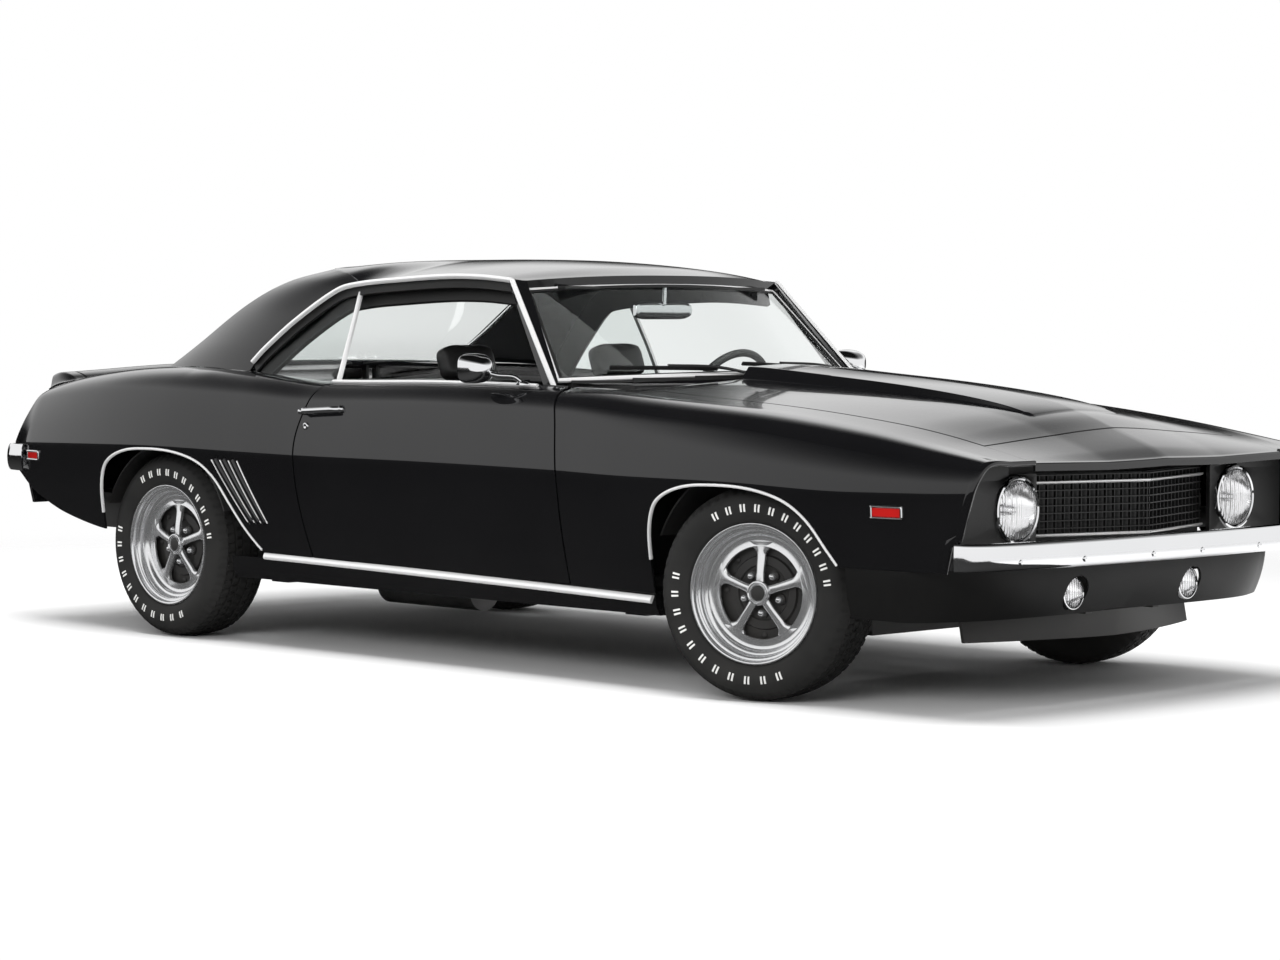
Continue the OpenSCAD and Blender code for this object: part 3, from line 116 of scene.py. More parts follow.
def soft_lamp(name, place, aim, wide, deep, watts):
    """A rectangular lamp at a place, turned to face the point it lights."""
    lamp = bpy.data.objects.new(name, bpy.data.lights.new(name, "AREA"))
    lamp.data.shape, lamp.data.size, lamp.data.size_y, lamp.data.energy = "RECTANGLE", wide, deep, watts
    away = np.array(place, float) - np.array(aim, float)
    away /= np.linalg.norm(away)
    side = np.cross([0.0, 0.001, 1.0], away)
    side /= np.linalg.norm(side)
    m = np.eye(4)
    m[:3, 0], m[:3, 1], m[:3, 2], m[:3, 3] = side, np.cross(away, side), away, place
    lamp.matrix_world = Matrix(m.tolist())
    SCENE.collection.objects.link(lamp)
    lamp.visible_glossy = False
    return lamp


soft_lamp("overhead_box", (0.0, -0.6, 5.2), (0.0, 0.0, 0.5), 8.0, 4.0, 520.0)
soft_lamp("camera_side_box", (4.0, -8.0, 3.6), (0.3, -0.5, 0.6), 6.0, 2.0, 300.0)


def flat_sheet(name, half, z, color, rough):
    """A square sheet of the studio, level at height z."""
    mesh = bpy.data.meshes.new(name)
    mesh.from_pydata([(-half, -half, z), (half, -half, z), (half, half, z), (-half, half, z)], [], [(0, 1, 2, 3)])
    sheet = bpy.data.objects.new(name, mesh)
    SCENE.collection.objects.link(sheet)
    m = bpy.data.materials.new(name)
    m.use_nodes = True
    m.node_tree.nodes["Principled BSDF"].inputs["Base Color"].default_value = (*color, 1.0)
    m.node_tree.nodes["Principled BSDF"].inputs["Roughness"].default_value = rough
    m.node_tree.nodes["Principled BSDF"].inputs["Specular IOR Level"].default_value = 0.0
    mesh.materials.append(m)
    return sheet


def fade_out(material, near, far, by_height=False):
    """Lets a sheet give way to the white surround between two distances from the car's middle, or two heights."""
    t = material.node_tree
    at, dist, span = (t.nodes.new(k) for k in ("ShaderNodeTexCoord", "ShaderNodeVectorMath", "ShaderNodeMapRange"))
    gone, either = t.nodes.new("ShaderNodeBsdfTransparent"), t.nodes.new("ShaderNodeMixShader")
    dist.operation, span.interpolation_type = "DOT_PRODUCT" if by_height else "LENGTH", "SMOOTHSTEP"
    dist.inputs[1].default_value = (0.0, 0.0, 1.0)
    span.inputs["From Min"].default_value, span.inputs["From Max"].default_value = near, far
    link(t, at.outputs["Object"], dist.inputs[0])
    link(t, dist.outputs["Value"], span.inputs["Value"])
    link(t, span.outputs["Result"], either.inputs["Fac"])
    link(t, t.nodes["Principled BSDF"].outputs[0], either.inputs[1])
    link(t, gone.outputs[0], either.inputs[2])
    link(t, either.outputs[0], t.nodes["Material Output"].inputs["Surface"])


floor = flat_sheet("paper_floor", 40.0, -0.001, (0.9, 0.9, 0.9), 1.0)
fade_out(floor.data.materials[0], 3.2, 6.5)
cloth = flat_sheet("dark_cloth_for_mirrors", 40.0, 0.002, (0.03, 0.03, 0.03), 1.0)
cloth.data.transform(Matrix.Translation((-34.5, -40.0, 0.0)))
ceiling = flat_sheet("dark_ceiling_for_mirrors", 60.0, 7.5, (0.01, 0.01, 0.01), 1.0)
fade_out(ceiling.data.materials[0], 9.0, 17.0)
wall = flat_sheet("dark_wall_for_mirrors", 16.0, 0.0, (0.01, 0.01, 0.01), 1.0)
wall.data.transform(look((-8.0, 8.0, 0.0), 44.563, 0.0, 0.0))
fade_out(wall.data.materials[0], 2.2, 4.0, by_height=True)
for sheet in (cloth, ceiling, wall):
    sheet.visible_camera = sheet.visible_diffuse = sheet.visible_shadow = sheet.visible_transmission = False

# %% [markdown]
# ## Meshes from grids
# A panel is a grid of points, a second grid behind it and a wall round the rim; a trim strip is a ring carried
# along a line. Both close on themselves, so the sign of the enclosed volume tells which way the faces point.

# %% Grids, plates and bars
MM = 0.001
MADE = []


def grid_faces(r, c, wrap=False):
    """Quads of an r by c grid of point numbers; with wrap the last column joins the first."""
    i = np.arange(r - 1)[:, None]
    j = np.arange(c if wrap else c - 1)[None, :]
    k = (j + 1) % c
    return np.stack(np.broadcast_arrays(i * c + j, i * c + k, (i + 1) * c + k, (i + 1) * c + j), -1).reshape(-1, 4)


def plate(outer, inner):
    """Closed plate: the outer grid, the inner grid turned round, and a wall along the rim."""
    r, c = outer.shape[:2]
    n = r * c
    skin = grid_faces(r, c)
    id = np.arange(n).reshape(r, c)
    loop = np.concatenate([id[0], id[1:, -1], id[-1, -2::-1], id[-2:0:-1, 0]])
    on = np.roll(loop, -1)
    wall = np.stack([on, loop, loop + n, on + n], -1)
    return np.concatenate([outer.reshape(-1, 3), inner.reshape(-1, 3)]), \
        np.concatenate([skin, skin[:, ::-1] + n, wall]).tolist()


def bar(rings, loop=False):
    """Closed bar: each ring joins the next; the ends are capped, or the last ring joins the first."""
    if loop:
        rings = np.concatenate([rings, rings[:1]])
    r, c = rings.shape[:2]
    faces = grid_faces(r, c, wrap=True)
    points = rings.reshape(-1, 3)
    if loop:
        faces = faces % ((r - 1) * c)
        return points[:(r - 1) * c], faces.tolist()
    return points, faces.tolist() + [list(range(c))[::-1], list(range((r - 1) * c, r * c))]


def boxes(low, high):
    """Many boxes at once from their low and high corners, two arrays of n by 3."""
    low, high = np.atleast_2d(low).astype(float), np.atleast_2d(high).astype(float)
    pick = np.array([[0, 0, 0], [1, 0, 0], [1, 1, 0], [0, 1, 0], [0, 0, 1], [1, 0, 1], [1, 1, 1], [0, 1, 1]])
    points = np.where(pick[None] == 1, high[:, None], low[:, None]).reshape(-1, 3)
    quad = np.array([[0, 3, 2, 1], [4, 5, 6, 7], [0, 1, 5, 4], [1, 2, 6, 5], [2, 3, 7, 6], [3, 0, 4, 7]])
    return points, (quad[None] + 8 * np.arange(len(low))[:, None, None]).reshape(-1, 4).tolist()


def outward(points, faces):
    """Turns the faces round if the volume they enclose, the sum of the corner triple products, is negative."""
    tri = np.array([[f[0], f[k], f[k + 1]] for f in faces for k in range(1, len(f) - 1)])
    a, b, c = points[tri[:, 0]], points[tri[:, 1]], points[tri[:, 2]]
    return faces if np.einsum("ij,ij->", a, np.cross(b, c)) > 0 else [f[::-1] for f in faces]


def flip(part):
    """The same shape on the other side of the car."""
    points, faces = part
    return points * [1, -1, 1], [f[::-1] for f in faces]


def both(parts):
    """The given shapes and their mirror images."""
    return list(parts) + [flip(p) for p in parts]


def piece(name, parts, material, body="body", stands_for=(), bevel=0.0, sharp=38.0, smooth=0):
    """One finished object from several closed shapes, riding on a body."""
    points, faces, base = [], [], 0
    for p, f in parts:
        f = outward(p - p.mean(0), f)
        points.append(p)
        faces += [[k + base for k in q] for q in f]
        base += len(p)
    mesh = bpy.data.meshes.new(name)
    mesh.from_pydata((np.concatenate(points) * MM).tolist(), [], faces)
    mesh.shade_smooth()
    if not bevel:
        mesh.set_sharp_from_angle(angle=math.radians(sharp))
    mesh.materials.append(material)
    obj = bpy.data.objects.new(name, mesh)
    SCENE.collection.objects.link(obj)
    if bevel:
        b = obj.modifiers.new("rolled_edge", "BEVEL")
        b.width, b.segments, b.limit_method, b.angle_limit = bevel * MM, 2, "ANGLE", math.radians(50)
        b.harden_normals = True
    if smooth:
        s = obj.modifiers.new("round", "SUBSURF")
        s.levels = s.render_levels = smooth
    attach(obj, body)
    if stands_for:
        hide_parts(*stands_for)
    MADE.append(name)
    return obj


def hermite(a, b, ta, tb, t):
    """Cubic from a to b that leaves along ta and arrives along tb."""
    return a * (2 * t**3 - 3 * t**2 + 1) + ta * (t**3 - 2 * t**2 + t) + b * (3 * t**2 - 2 * t**3) + tb * (t**3 - t**2)


def along(table, column, x):
    """Smooth curve through a table's rows: cubic pieces whose slopes are those between the neighbours."""
    t = np.asarray(table, float)
    k, v, n = t[:, 0], t[:, column], len(t)
    a, b = np.maximum(np.arange(n) - 1, 0), np.minimum(np.arange(n) + 1, n - 1)
    slope = (v[b] - v[a]) / (k[b] - k[a])
    i = np.clip(np.searchsorted(k, x, side="right") - 1, 0, n - 2)
    h = k[i + 1] - k[i]
    return hermite(v[i], v[i + 1], slope[i] * h, slope[i + 1] * h, (x - k[i]) / h)


def through(points, count, spread=None):
    """Smooth line through a few points, with count points spaced evenly by the chords between them."""
    p = np.asarray(points, float)
    far = np.concatenate([[0], np.cumsum(np.linalg.norm(np.diff(p, axis=0), axis=1))])
    u = np.linspace(0, far[-1], count) if spread is None else far[-1] * spread
    rows = np.column_stack([far, p])
    return np.stack([along(rows, k + 1, u) for k in range(p.shape[1])], -1)


def mix(a, b, s):
    return a + (b - a) * s


def ramp(a, b, x):
    """Smooth step from 0 at a to 1 at b."""
    s = np.clip((x - a) / (b - a), 0, 1)
    return s * s * (3 - 2 * s)


def strip(path, ring, out, loop=False):
    """Carries a flat ring along a path. ring has columns across and out; out is the direction away from the
    car at each point of the path, and across is square to both out and the path."""
    path, out = np.asarray(path, float), np.asarray(out, float)
    out = np.broadcast_to(out, path.shape)
    way = np.roll(path, -1, 0) - np.roll(path, 1, 0) if loop else np.gradient(path, axis=0)
    way = way / np.linalg.norm(way, axis=1, keepdims=True)
    across = np.cross(out, way)
    across /= np.linalg.norm(across, axis=1, keepdims=True)
    up = np.cross(way, across)
    ring = np.asarray(ring, float)
    return bar(path[:, None] + across[:, None] * ring[None, :, :1] + up[:, None] * ring[None, :, 1:2], loop)


def half_round(wide, tall, sink=2.0, count=9):
    """Ring of a domed strip: half an ellipse above the panel, and a flat foot sunk a little into it."""
    a = np.linspace(0, math.pi, count)
    dome = np.column_stack([wide / 2 * np.cos(a), tall * np.sin(a)])
    return np.concatenate([dome, [[-wide / 2, -sink], [wide / 2, -sink]]])


def circle(r, count=12):
    """Ring of a round rod."""
    a = np.linspace(0, 2 * math.pi, count, endpoint=False)
    return np.column_stack([r * np.cos(a), r * np.sin(a)])


def turned(profile, place, axis=(0, 1, 0), count=64):
    """A turned part: a profile of radius and distance along the axis, carried round the axis."""
    axis = np.asarray(axis, float) / np.linalg.norm(axis)
    u = np.cross(axis, [0.0, 0.0, 1.0]) if abs(axis[2]) < 0.9 else np.cross(axis, [1.0, 0.0, 0.0])
    u /= np.linalg.norm(u)
    v = np.cross(axis, u)
    a = np.linspace(0, 2 * math.pi, count, endpoint=False)
    round_ = np.cos(a)[:, None] * u + np.sin(a)[:, None] * v
    profile = np.asarray(profile, float)
    rings = profile[None, :, :1] * round_[:, None] + profile[None, :, 1:2] * axis + np.asarray(place, float)
    return bar(rings, loop=True)


print("helpers ready")

# %% [markdown]
# ## Finishes
# Effects that several finishes share are node groups with named sockets: a fine grain, a slow drift between two
# tones, and road dust that thins out with height. They put out values only; each finish keeps its own shader.

# %% Shared node groups
def new_group(name, sockets, outs):
    """An empty shader node group with float or colour inputs and the named outputs."""
    g = bpy.data.node_groups.new(name, "ShaderNodeTree")
    for label, value in sockets:
        kind = "NodeSocketColor" if isinstance(value, tuple) else "NodeSocketFloat"
        g.interface.new_socket(label, in_out="INPUT", socket_type=kind).default_value = value
    for label, kind in outs:
        g.interface.new_socket(label, in_out="OUTPUT", socket_type=kind)
    return g, g.nodes.new("NodeGroupInput"), g.nodes.new("NodeGroupOutput")


def maths(tree, kind, a, b):
    """A math node whose two inputs are sockets or numbers."""
    n = tree.nodes.new("ShaderNodeMath")
    n.operation = kind
    for k, v in enumerate((a, b)):
        if isinstance(v, (int, float)):
            n.inputs[k].default_value = v
        else:
            link(tree, v, n.inputs[k])
    return n.outputs[0]


GRAIN, gi, go = new_group("fine_grain", [("Scale", 800.0), ("Detail", 3.0)], [("Grain", "NodeSocketFloat")])
where = GRAIN.nodes.new("ShaderNodeTexCoord")
noise = GRAIN.nodes.new("ShaderNodeTexNoise")
link(GRAIN, where.outputs["Object"], noise.inputs["Vector"])
link(GRAIN, gi.outputs["Scale"], noise.inputs["Scale"])
link(GRAIN, gi.outputs["Detail"], noise.inputs["Detail"])
link(GRAIN, noise.outputs["Fac"], go.inputs["Grain"])

DRIFT, gi, go = new_group("slow_drift", [("Dark", (0.0, 0.0, 0.0, 1.0)), ("Light", (1.0, 1.0, 1.0, 1.0)),
                                         ("Scale", 3.0)], [("Color", "NodeSocketColor")])
where = DRIFT.nodes.new("ShaderNodeTexCoord")
noise = DRIFT.nodes.new("ShaderNodeTexNoise")
blend = DRIFT.nodes.new("ShaderNodeMix")
blend.data_type = "RGBA"
link(DRIFT, where.outputs["Object"], noise.inputs["Vector"])
link(DRIFT, gi.outputs["Scale"], noise.inputs["Scale"])
link(DRIFT, noise.outputs["Fac"], blend.inputs["Factor"])
blend_color = [s for s in blend.inputs if s.type == "RGBA"]
link(DRIFT, gi.outputs["Dark"], blend_color[0])
link(DRIFT, gi.outputs["Light"], blend_color[1])
link(DRIFT, [s for s in blend.outputs if s.type == "RGBA"][0], go.inputs["Color"])

DUST, gi, go = new_group("road_dust", [("Height", 0.5), ("Amount", 0.3)], [("Mask", "NodeSocketFloat")])
where = DUST.nodes.new("ShaderNodeTexCoord")
split = DUST.nodes.new("ShaderNodeSeparateXYZ")
noise = DUST.nodes.new("ShaderNodeTexNoise")
noise.inputs["Scale"].default_value, noise.inputs["Detail"].default_value = 9.0, 6.0
link(DUST, where.outputs["Object"], split.inputs[0])
link(DUST, where.outputs["Object"], noise.inputs["Vector"])
low = maths(DUST, "SUBTRACT", 1.0, maths(DUST, "DIVIDE", split.outputs["Z"], gi.outputs["Height"]))
low = maths(DUST, "MAXIMUM", low, 0.0)
link(DUST, maths(DUST, "MULTIPLY", maths(DUST, "MULTIPLY", low, noise.outputs["Fac"]), gi.outputs["Amount"]),
     go.inputs["Mask"])
print("node groups:", [g.name for g in bpy.data.node_groups])

# %% [markdown]
# A finish is made by one recipe: two tones that drift, dust on top, roughness that follows the grain and a bump
# from the same grain. Numbers that are the same all over go straight on the shader's sockets.

# %% One recipe for solid finishes
def use(tree, group, **values):
    """Places a node group in a material and sets its inputs."""
    n = tree.nodes.new("ShaderNodeGroup")
    n.node_tree = group
    for label, value in values.items():
        n.inputs[label].default_value = value
    return n.outputs[0]


def color_mix(tree, factor, a, b):
    """Mixes two colours, each a socket or a colour, by a factor socket."""
    n = tree.nodes.new("ShaderNodeMix")
    n.data_type = "RGBA"
    link(tree, factor, n.inputs["Factor"])
    for s, v in zip([s for s in n.inputs if s.type == "RGBA"], (a, b)):
        if isinstance(v, tuple):
            s.default_value = v
        else:
            link(tree, v, s)
    return [s for s in n.outputs if s.type == "RGBA"][0]


def finish(name, dark, light, rough, grain=900.0, rough_vary=0.05, bump=0.0, dust=0.0, dust_high=0.5,
           drift=3.0, detail=3.0, **shader):
    """A solid finish. rough plus or minus rough_vary follows the grain; bump is the grain's height in mm."""
    m = bpy.data.materials.new(name)
    m.use_nodes = True
    t = m.node_tree
    b = t.nodes["Principled BSDF"]
    for label, value in shader.items():
        b.inputs[label.replace("_", " ")].default_value = value
    color = use(t, DRIFT, Dark=(*dark, 1.0), Light=(*light, 1.0), Scale=drift)
    g = use(t, GRAIN, Scale=grain, Detail=detail)
    r = maths(t, "ADD", maths(t, "MULTIPLY", g, 2 * rough_vary), rough - rough_vary)
    if dust:
        d = use(t, DUST, Height=dust_high, Amount=dust)
        color = color_mix(t, d, color, (0.12, 0.11, 0.10, 1.0))
        r = maths(t, "ADD", r, maths(t, "MULTIPLY", d, 0.6))
    link(t, color, b.inputs["Base Color"])
    link(t, r, b.inputs["Roughness"])
    if bump:
        h = t.nodes.new("ShaderNodeBump")
        h.inputs["Strength"].default_value, h.inputs["Distance"].default_value = 1.0, bump * MM
        link(t, g, h.inputs["Height"])
        link(t, h.outputs["Normal"], b.inputs["Normal"])
    m.diffuse_color = (*light, 1.0)
    return m


PAINT = finish("gloss_black_paint", (0.0035, 0.0035, 0.004), (0.006, 0.006, 0.0065), 0.16, grain=650.0,
               rough_vary=0.03, bump=0.004, dust=0.06, dust_high=0.42, Specular_IOR_Level=0.1,
               Coat_Weight=0.9, Coat_IOR=1.5, Coat_Roughness=0.03)
SATIN = finish("satin_black_paint", (0.008, 0.008, 0.008), (0.016, 0.016, 0.016), 0.45, grain=500.0,
               bump=0.02, dust=0.35, dust_high=0.6)
LOWER = finish("lower_black_paint", (0.004, 0.004, 0.004), (0.008, 0.008, 0.008), 0.38, grain=500.0,
               bump=0.01, dust=0.08, dust_high=0.45, Specular_IOR_Level=0.15)
CHROME = finish("chrome_plate", (0.78, 0.79, 0.80), (0.86, 0.86, 0.87), 0.06, grain=220.0, rough_vary=0.025,
                bump=0.002, dust=0.08, dust_high=0.5, Metallic=1.0)
TRIM = finish("bright_trim", (0.82, 0.82, 0.82), (0.9, 0.9, 0.9), 0.2, grain=220.0, rough_vary=0.03, dust=0.05,
              dust_high=0.5, Metallic=0.45)
WHEEL_CHROME = finish("wheel_chrome", (0.74, 0.75, 0.76), (0.84, 0.84, 0.85), 0.17, grain=260.0, rough_vary=0.03,
                      dust=0.04, dust_high=0.64, Metallic=0.88)
RUBBER = finish("tyre_rubber", (0.011, 0.011, 0.011), (0.02, 0.02, 0.0195), 0.62, grain=1400.0, rough_vary=0.1,
                bump=0.08, dust=0.10, dust_high=0.7, drift=9.0, Specular_IOR_Level=0.25)
SIDE_WHITE = finish("white_rubber_bars", (0.70, 0.70, 0.68), (0.80, 0.80, 0.78), 0.6, grain=700.0, bump=0.05,
                    dust=0.15, dust_high=0.7)
SEAL = finish("window_rubber", (0.006, 0.006, 0.006), (0.012, 0.012, 0.012), 0.5, grain=1200.0, bump=0.03)
VINYL = finish("grained_vinyl", (0.009, 0.009, 0.009), (0.018, 0.018, 0.018), 0.42, grain=650.0, rough_vary=0.1,
               bump=0.16, detail=6.0)
DASH = finish("padded_dash_skin", (0.008, 0.008, 0.008), (0.014, 0.014, 0.014), 0.55, grain=900.0, bump=0.14)
CARPET = finish("loop_carpet", (0.006, 0.006, 0.006), (0.014, 0.014, 0.014), 0.95, grain=420.0, bump=1.2,
                Specular_IOR_Level=0.1)
IRON = finish("painted_iron", (0.10, 0.10, 0.105), (0.2, 0.2, 0.21), 0.6, grain=300.0, bump=0.15, dust=0.3,
              dust_high=0.9)
STEEL = finish("dull_steel", (0.22, 0.22, 0.225), (0.36, 0.355, 0.35), 0.42, grain=380.0, rough_vary=0.12, bump=0.05,
               dust=0.4, dust_high=0.6, Metallic=0.9)
RED_LENS = finish("red_lens", (0.32, 0.004, 0.004), (0.5, 0.012, 0.01), 0.12, grain=160.0, bump=0.1, drift=12.0,
                  Coat_Weight=0.8, Coat_Roughness=0.05)
MIRROR = finish("silvered_glass", (0.86, 0.87, 0.88), (0.9, 0.9, 0.91), 0.02, grain=90.0, rough_vary=0.01, Metallic=1.0)
REFLECTOR = finish("lamp_reflector", (0.86, 0.86, 0.88), (0.93, 0.93, 0.94), 0.12, grain=60.0, rough_vary=0.04,
                   Metallic=1.0)
print("solid finishes:", len(bpy.data.materials))

# %% [markdown]
# Glass is thin and almost colourless. Shadow rays pass it unbent, so that the lamps reach the cabin, and the
# lamp lenses have their moulded flutes as a wave bump.

# %% Clear finishes
def clear_finish(name, tint, rough, flutes=0.0):
    """Glass: full transmission with a slight tint; flutes is the depth in mm of upright ribs."""
    m = bpy.data.materials.new(name)
    m.use_nodes = True
    t = m.node_tree
    b = t.nodes["Principled BSDF"]
    b.inputs["Transmission Weight"].default_value = 1.0
    b.inputs["IOR"].default_value = 1.45 if flutes else 1.2
    b.inputs["Roughness"].default_value = rough
    link(t, use(t, DRIFT, Dark=(*[c * 0.97 for c in tint], 1.0), Light=(*tint, 1.0), Scale=2.0), b.inputs["Base Color"])
    if flutes:
        at = t.nodes.new("ShaderNodeTexCoord")
        w = t.nodes.new("ShaderNodeTexWave")
        w.bands_direction = "Y"
        w.inputs["Scale"].default_value = 30.0
        h = t.nodes.new("ShaderNodeBump")
        h.inputs["Distance"].default_value = flutes * MM
        link(t, at.outputs["Object"], w.inputs["Vector"])
        link(t, w.outputs["Fac"], h.inputs["Height"])
        link(t, h.outputs["Normal"], b.inputs["Normal"])
    path = t.nodes.new("ShaderNodeLightPath")
    through_ = t.nodes.new("ShaderNodeBsdfTransparent")
    through_.inputs["Color"].default_value = (*tint, 1.0)
    either = t.nodes.new("ShaderNodeMixShader")
    link(t, path.outputs["Is Shadow Ray"], either.inputs["Fac"])
    link(t, b.outputs[0], either.inputs[1])
    link(t, through_.outputs[0], either.inputs[2])
    link(t, either.outputs[0], t.nodes["Material Output"].inputs["Surface"])
    m.diffuse_color = (*tint, 0.3)
    return m


GLASS = clear_finish("window_glass", (0.86, 0.89, 0.88), 0.0)
LENS = clear_finish("fluted_lens", (0.97, 0.97, 0.97), 0.02, flutes=0.6)
print("all finishes:", len(bpy.data.materials))

# %% [markdown]
# ## The body's curves
# One short table of sections gives the crease, the shoulder and the lower edge from tail to nose. Everything on
# the flanks is read off these curves, so doors, fenders and quarters meet in one flowing surface.

# %% Sections, side and top of the body
HALF_W, NOSE_X, TAIL_X, FRONT_AXLE, REAR_AXLE, AXLE_Z = 940.0, 2300.0, -2250.0, 1425.0, -1318.0, 320.0
FRONT_X, GAP = 2362.0, 3.5
BODY = [[TAIL_X, 95, 650, 545, 165, 805], [TAIL_X + 150, 55, 655, 468, 140, 866],
        [REAR_AXLE - 380, 12, 664, 372, 95, 920], [REAR_AXLE, 0, 670, 340, 85, 938],
        [REAR_AXLE + 420, 15, 664, 303, 88, 924], [-560, 29, 660, 303, 92, 905], [50, 35, 660, 303, 92, 913],
        [640, 28, 657, 303, 90, 907], [FRONT_AXLE - 480, 17, 652, 303, 88, 886], [FRONT_AXLE, 10, 652, 420, 90, 852],
        [FRONT_AXLE + 380, 22, 642, 420, 98, 810], [NOSE_X - 200, 52, 648, 420, 108, 764],
        [NOSE_X, 90, 655, 425, 122, 729]]
MIDDLE = [[TAIL_X + 50, 868], [TAIL_X + 200, 902], [REAR_AXLE - 480, 932], [REAR_AXLE - 240, 947], [REAR_AXLE - 80, 952],
          [REAR_AXLE + 420, 938], [-560, 918], [640, 915], [FRONT_AXLE - 630, 932], [FRONT_AXLE - 306, 921],
          [FRONT_AXLE + 104, 901], [FRONT_AXLE + 416, 874], [NOSE_X - 300, 843], [NOSE_X - 183, 802], [NOSE_X - 50, 752],
          [NOSE_X + 19, 716]]
DOOR_FRONT = [[280, 702], [473, 690], [656, 672], [780, 650], [860, 622], [930, 584]]
DOOR_REAR = [[280, -518], [475, -562], [608, -583], [707, -585], [808, -560], [898, -524], [930, -508]]
ARCH = [[-347, 80], [-342, 180], [-318, 250], [-270, 286], [-190, 310], [-100, 318], [30, 317], [140, 302], [225, 274],
        [297, 224], [365, 142], [430, 62], [495, -2], [560, -48]]
LOW_TUCK = 42.0


def crease_y(x):
    return HALF_W - along(BODY, 1, x)


def crease_z(x):
    return along(BODY, 2, x)


def shoulder_y(x):
    return HALF_W - along(BODY, 4, x)


def shoulder_z(x):
    return along(BODY, 5, x)


def side_y(x, z):
    """Half width: below the crease it tucks in by a square law, above it falls in to the shoulder, faster and faster."""
    w, zc, zs = crease_y(x), crease_z(x), shoulder_z(x)
    s = (z - zc) / (zs - zc)
    return np.where(z < zc, w - LOW_TUCK * ((zc - z) / (zc - 303)) ** 2,
                    w - (w - shoulder_y(x)) * (0.25 * s + 0.75 * s * s))


def top_z(x, y):
    """Height between the shoulders: the middle line's height fades to the shoulder's by a smooth bell."""
    s = np.minimum(1, np.abs(y) / shoulder_y(x))
    return shoulder_z(x) + (along(MIDDLE, 1, x) - shoulder_z(x)) * (1 - s * s) ** 2


print("half width at the doors:", round(float(side_y(np.array(50.0), np.array(660.0)))))

# %% [markdown]
# ## Flanks
# A flank panel is made of upright columns. Each column climbs from the panel's lower edge to the crease, on to the
# shoulder, rolls over it in a soft radius and ends on top. Where a wheel opening cuts in, the lower ends of the
# columns follow the arch. Rows set close on both sides of the crease keep it crisp without a sharp fold.

# %% Columns of a flank panel
def flank(x, low, shift, inner, roll=110.0, thick=9.0, lift=0.0):
    """Grid of a flank panel and the grid behind it. x is each column's place and low its lower end; shift moves a
    point along the car by its height; inner is the half width where the top ends, lift its extra height there."""
    zc = crease_z(x)
    xt = shift(x, shoulder_z(shift(x, shoulder_z(x))))
    zs = shoulder_z(xt)
    up = np.concatenate([np.linspace(0, 1, 18)[:-1], [0.995]])[:, None]
    low_z = np.minimum(low + (zc - 2.5 - low) * up / 0.995, zc - 2.5)
    high_z = zc + 2.5 + (zs - zc) * np.linspace(0, 0.72, 16)[:, None]
    z = np.concatenate([low_z, high_z])
    xs = shift(np.broadcast_to(x, z.shape), z)
    side = np.stack([xs, side_y(xs, z), z], -1)
    a, ta = side[-1], side[-1] - side[-2]
    yb = np.maximum(shoulder_y(xt) - roll, inner + 1.0)
    b = np.stack([xt, yb, top_z(xt, yb)], -1)
    b2 = np.stack([xt, yb - 2, top_z(xt, yb - 2)], -1)
    far = np.linalg.norm(b - a, axis=-1, keepdims=True)
    ta = ta / np.linalg.norm(ta, axis=-1, keepdims=True) * far
    tb = (b2 - b) / np.linalg.norm(b2 - b, axis=-1, keepdims=True) * far
    t = np.linspace(0, 1, 13)[1:, None, None]
    over = hermite(a, b, ta, tb, t)
    s = np.linspace(0, 1, 9)[1:, None]
    y = yb + (inner - yb) * s
    top = np.stack([np.broadcast_to(xt, y.shape), y, top_z(xt, y) + lift * s], -1)
    outer = np.concatenate([side, over, top])
    lean = np.concatenate([np.zeros(len(side)), np.linspace(0, 1, 13)[1:], np.ones(len(top))])[:, None] * math.pi / 2
    inward = np.stack(np.broadcast_arrays(np.zeros_like(lean), np.cos(lean), np.sin(lean)), -1)
    return outer, outer - thick * inward


def arch_line(middle, up, low, high, count):
    """Points of a wheel opening between two heights at its ends, spaced evenly along its curve."""
    line = through([[a, AXLE_Z + z + up] for a, z in ARCH], 400)
    peak = int(np.argmax(line[:, 1]))
    start = int(np.argmin(np.abs(line[:peak, 1] - low)))
    end = peak + int(np.argmin(np.abs(line[peak:, 1] - high)))
    cut = line[np.linspace(start, end, count).round().astype(int)]
    return cut + [middle, 0]


def door_front(z):
    return along(DOOR_FRONT, 1, z)


def door_rear(z):
    return along(DOOR_REAR, 1, z)


def hood_edge_y(x):
    return mix(640.0, 606.0, (x - 795.0) / (2117.0 - 795.0))


D0 = float(door_front(280))
Q0 = float(door_rear(280))


def fender_shift(x, z):
    """The rear columns follow the door's edge; the front ones lean back a little and step back behind the bumper."""
    return x + (door_front(z) + GAP - D0) * (1 - ramp(D0, D0 + 260, x)) \
        - (0.3 * (shoulder_z(x) - z) + 25.0 * ramp(518.0, 504.0, z)) * ramp(NOSE_X - 420, NOSE_X, x)


def quarter_shift(x, z):
    """The front columns follow the door's edge; above the crease the tail leans ahead, below it a little back."""
    zc = crease_z(x)
    return x + (door_rear(z) - GAP - Q0) * ramp(Q0 - 240, Q0, x) \
        + 0.62 * (z - zc) * ramp(TAIL_X + 380, TAIL_X, x) * np.where(z > zc, 1, -0.5)


def columns(*runs):
    """Joins runs of columns, each an array of place and lower end."""
    return np.concatenate([np.asarray(r, float) for r in runs])


def run(a, b, n, low):
    x = np.linspace(a, b, n)
    return np.column_stack([x, np.broadcast_to(low, x.shape)])


print("columns ready")

